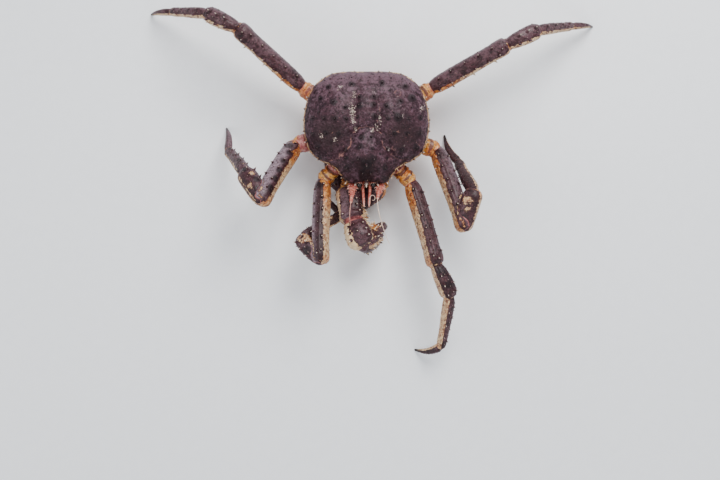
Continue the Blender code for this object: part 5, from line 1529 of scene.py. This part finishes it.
def bristle_material(name):
    """Short brown bristles."""
    w = Wiring(name)
    fine = w.noise(0.002, 3)
    colour = w.mix(fine, (0.16, 0.07, 0.03), (0.42, 0.24, 0.1))
    return w.finish(colour, fine + 0.5, fine, 0.0001, 0.3)


def floor_material(name):
    """Plain pale floor."""
    w = Wiring(name)
    fine = w.noise(0.02, 5)
    colour = w.mix(fine, (0.78, 0.8, 0.83), (0.83, 0.85, 0.88))
    return w.finish(colour, fine * 0.1 + 0.55, fine, 0.0002, 0.2)


# ---------------------------------------------------------------- stage
CAMERA_OFFSET = (-0.0115, -0.198)    # from the crab's centre to the middle of the view
CAMERA_HEIGHT = 1.9
CAMERA_LENS = 51
# Position from the crab's centre, power in watts, size.
LIGHTS = (
    ("key", (0.55, 1.25, 1.75), 46, 1.3), ("fill", (-1.5, -0.5, 1.5), 15, 1.8),
    ("front", (1.0, -1.6, 1.2), 10, 1.4),
)


def build_stage(origin):
    """Floor, lights and camera."""
    mesh = bpy.data.meshes.new("floor")
    size = 6.0
    mesh.from_pydata([(-size, -size, 0), (size, -size, 0), (size, size, 0), (-size, size, 0)],
                     [], [(0, 1, 2, 3)])
    floor = bpy.data.objects.new("floor", mesh)
    mesh.materials.append(floor_material("pale_floor"))
    bpy.context.scene.collection.objects.link(floor)

    world = bpy.data.worlds.new("studio")
    world.use_nodes = True
    world.node_tree.nodes["Background"].inputs["Color"].default_value = (0.9, 0.94, 1.0, 1.0)
    world.node_tree.nodes["Background"].inputs["Strength"].default_value = 0.55
    bpy.context.scene.world = world
    for name, place, power, size in LIGHTS:
        lamp = bpy.data.lights.new(name, "AREA")
        lamp.energy = power
        lamp.size = size
        lamp.color = (1.0, 0.98, 0.95)
        made = bpy.data.objects.new(name, lamp)
        made.location = Vector(place) + origin
        made.rotation_euler = (-Vector(place)).to_track_quat("-Z", "Y").to_euler()
        bpy.context.scene.collection.objects.link(made)

    camera = bpy.data.cameras.new("camera")
    camera.lens = CAMERA_LENS
    camera.sensor_width = 36
    made = bpy.data.objects.new("camera", camera)
    made.location = (origin.x + CAMERA_OFFSET[0], origin.y + CAMERA_OFFSET[1], CAMERA_HEIGHT)
    bpy.context.scene.collection.objects.link(made)
    bpy.context.scene.camera = made
    bpy.context.scene.view_settings.look = "AgX - Medium High Contrast"


def crab_origin():
    """Where the crab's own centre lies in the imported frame, from the boxes of its eyes."""
    low_left, high_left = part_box("eye_left")
    low_right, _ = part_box("eye_right")
    centre, run, _, _, radius = tube_frame(EYE_PATH, 1, 1.0)
    tip = centre + run * radius * TUBE_END
    return Vector(((low_right.x + high_left.x) / 2, low_left.y - tip.y, 0))


def main():
    """Builds every piece, the floor, the lights and the camera."""
    random.seed(SEED)
    origin = crab_origin()
    purple = shell_material("purple_shell_skin", (0.029, 0.009, 0.016), (0.07, 0.028, 0.04),
                            (0.145, 0.082, 0.108), (0.34, 0.15, 0.14), 0.35)
    legs = shell_material("leg_shell_skin", (0.03, 0.0075, 0.011), (0.066, 0.02, 0.026),
                          (0.114, 0.056, 0.069), (0.36, 0.17, 0.12), 0.8)
    joints = joint_material("joint_skin")
    feelers = feeler_material("feeler_skin")
    materials = {
        "leg": [legs], "joint": [joints], "feeler": [feelers],
        "eye": [feelers, cornea_material("cornea")],
        "mouth": [joints, bristle_material("bristle")],
    }
    build_carapace(origin, [purple])
    build_thorax(origin, [joints])
    build_abdomen(origin, [joints])
    for side, word in ((1, "left"), (-1, "right")):
        build_eye(side, word, origin, materials)
        build_antenna(side, word, origin, materials)
        build_antennule(side, word, origin, materials)
        build_maxilliped(side, word, origin, materials)
    for name in WALKING_LEGS:
        build_walking_leg(name, origin, materials)
    for name in CHELIPEDS:
        build_cheliped(name, origin, materials)
    build_stage(origin)


main()
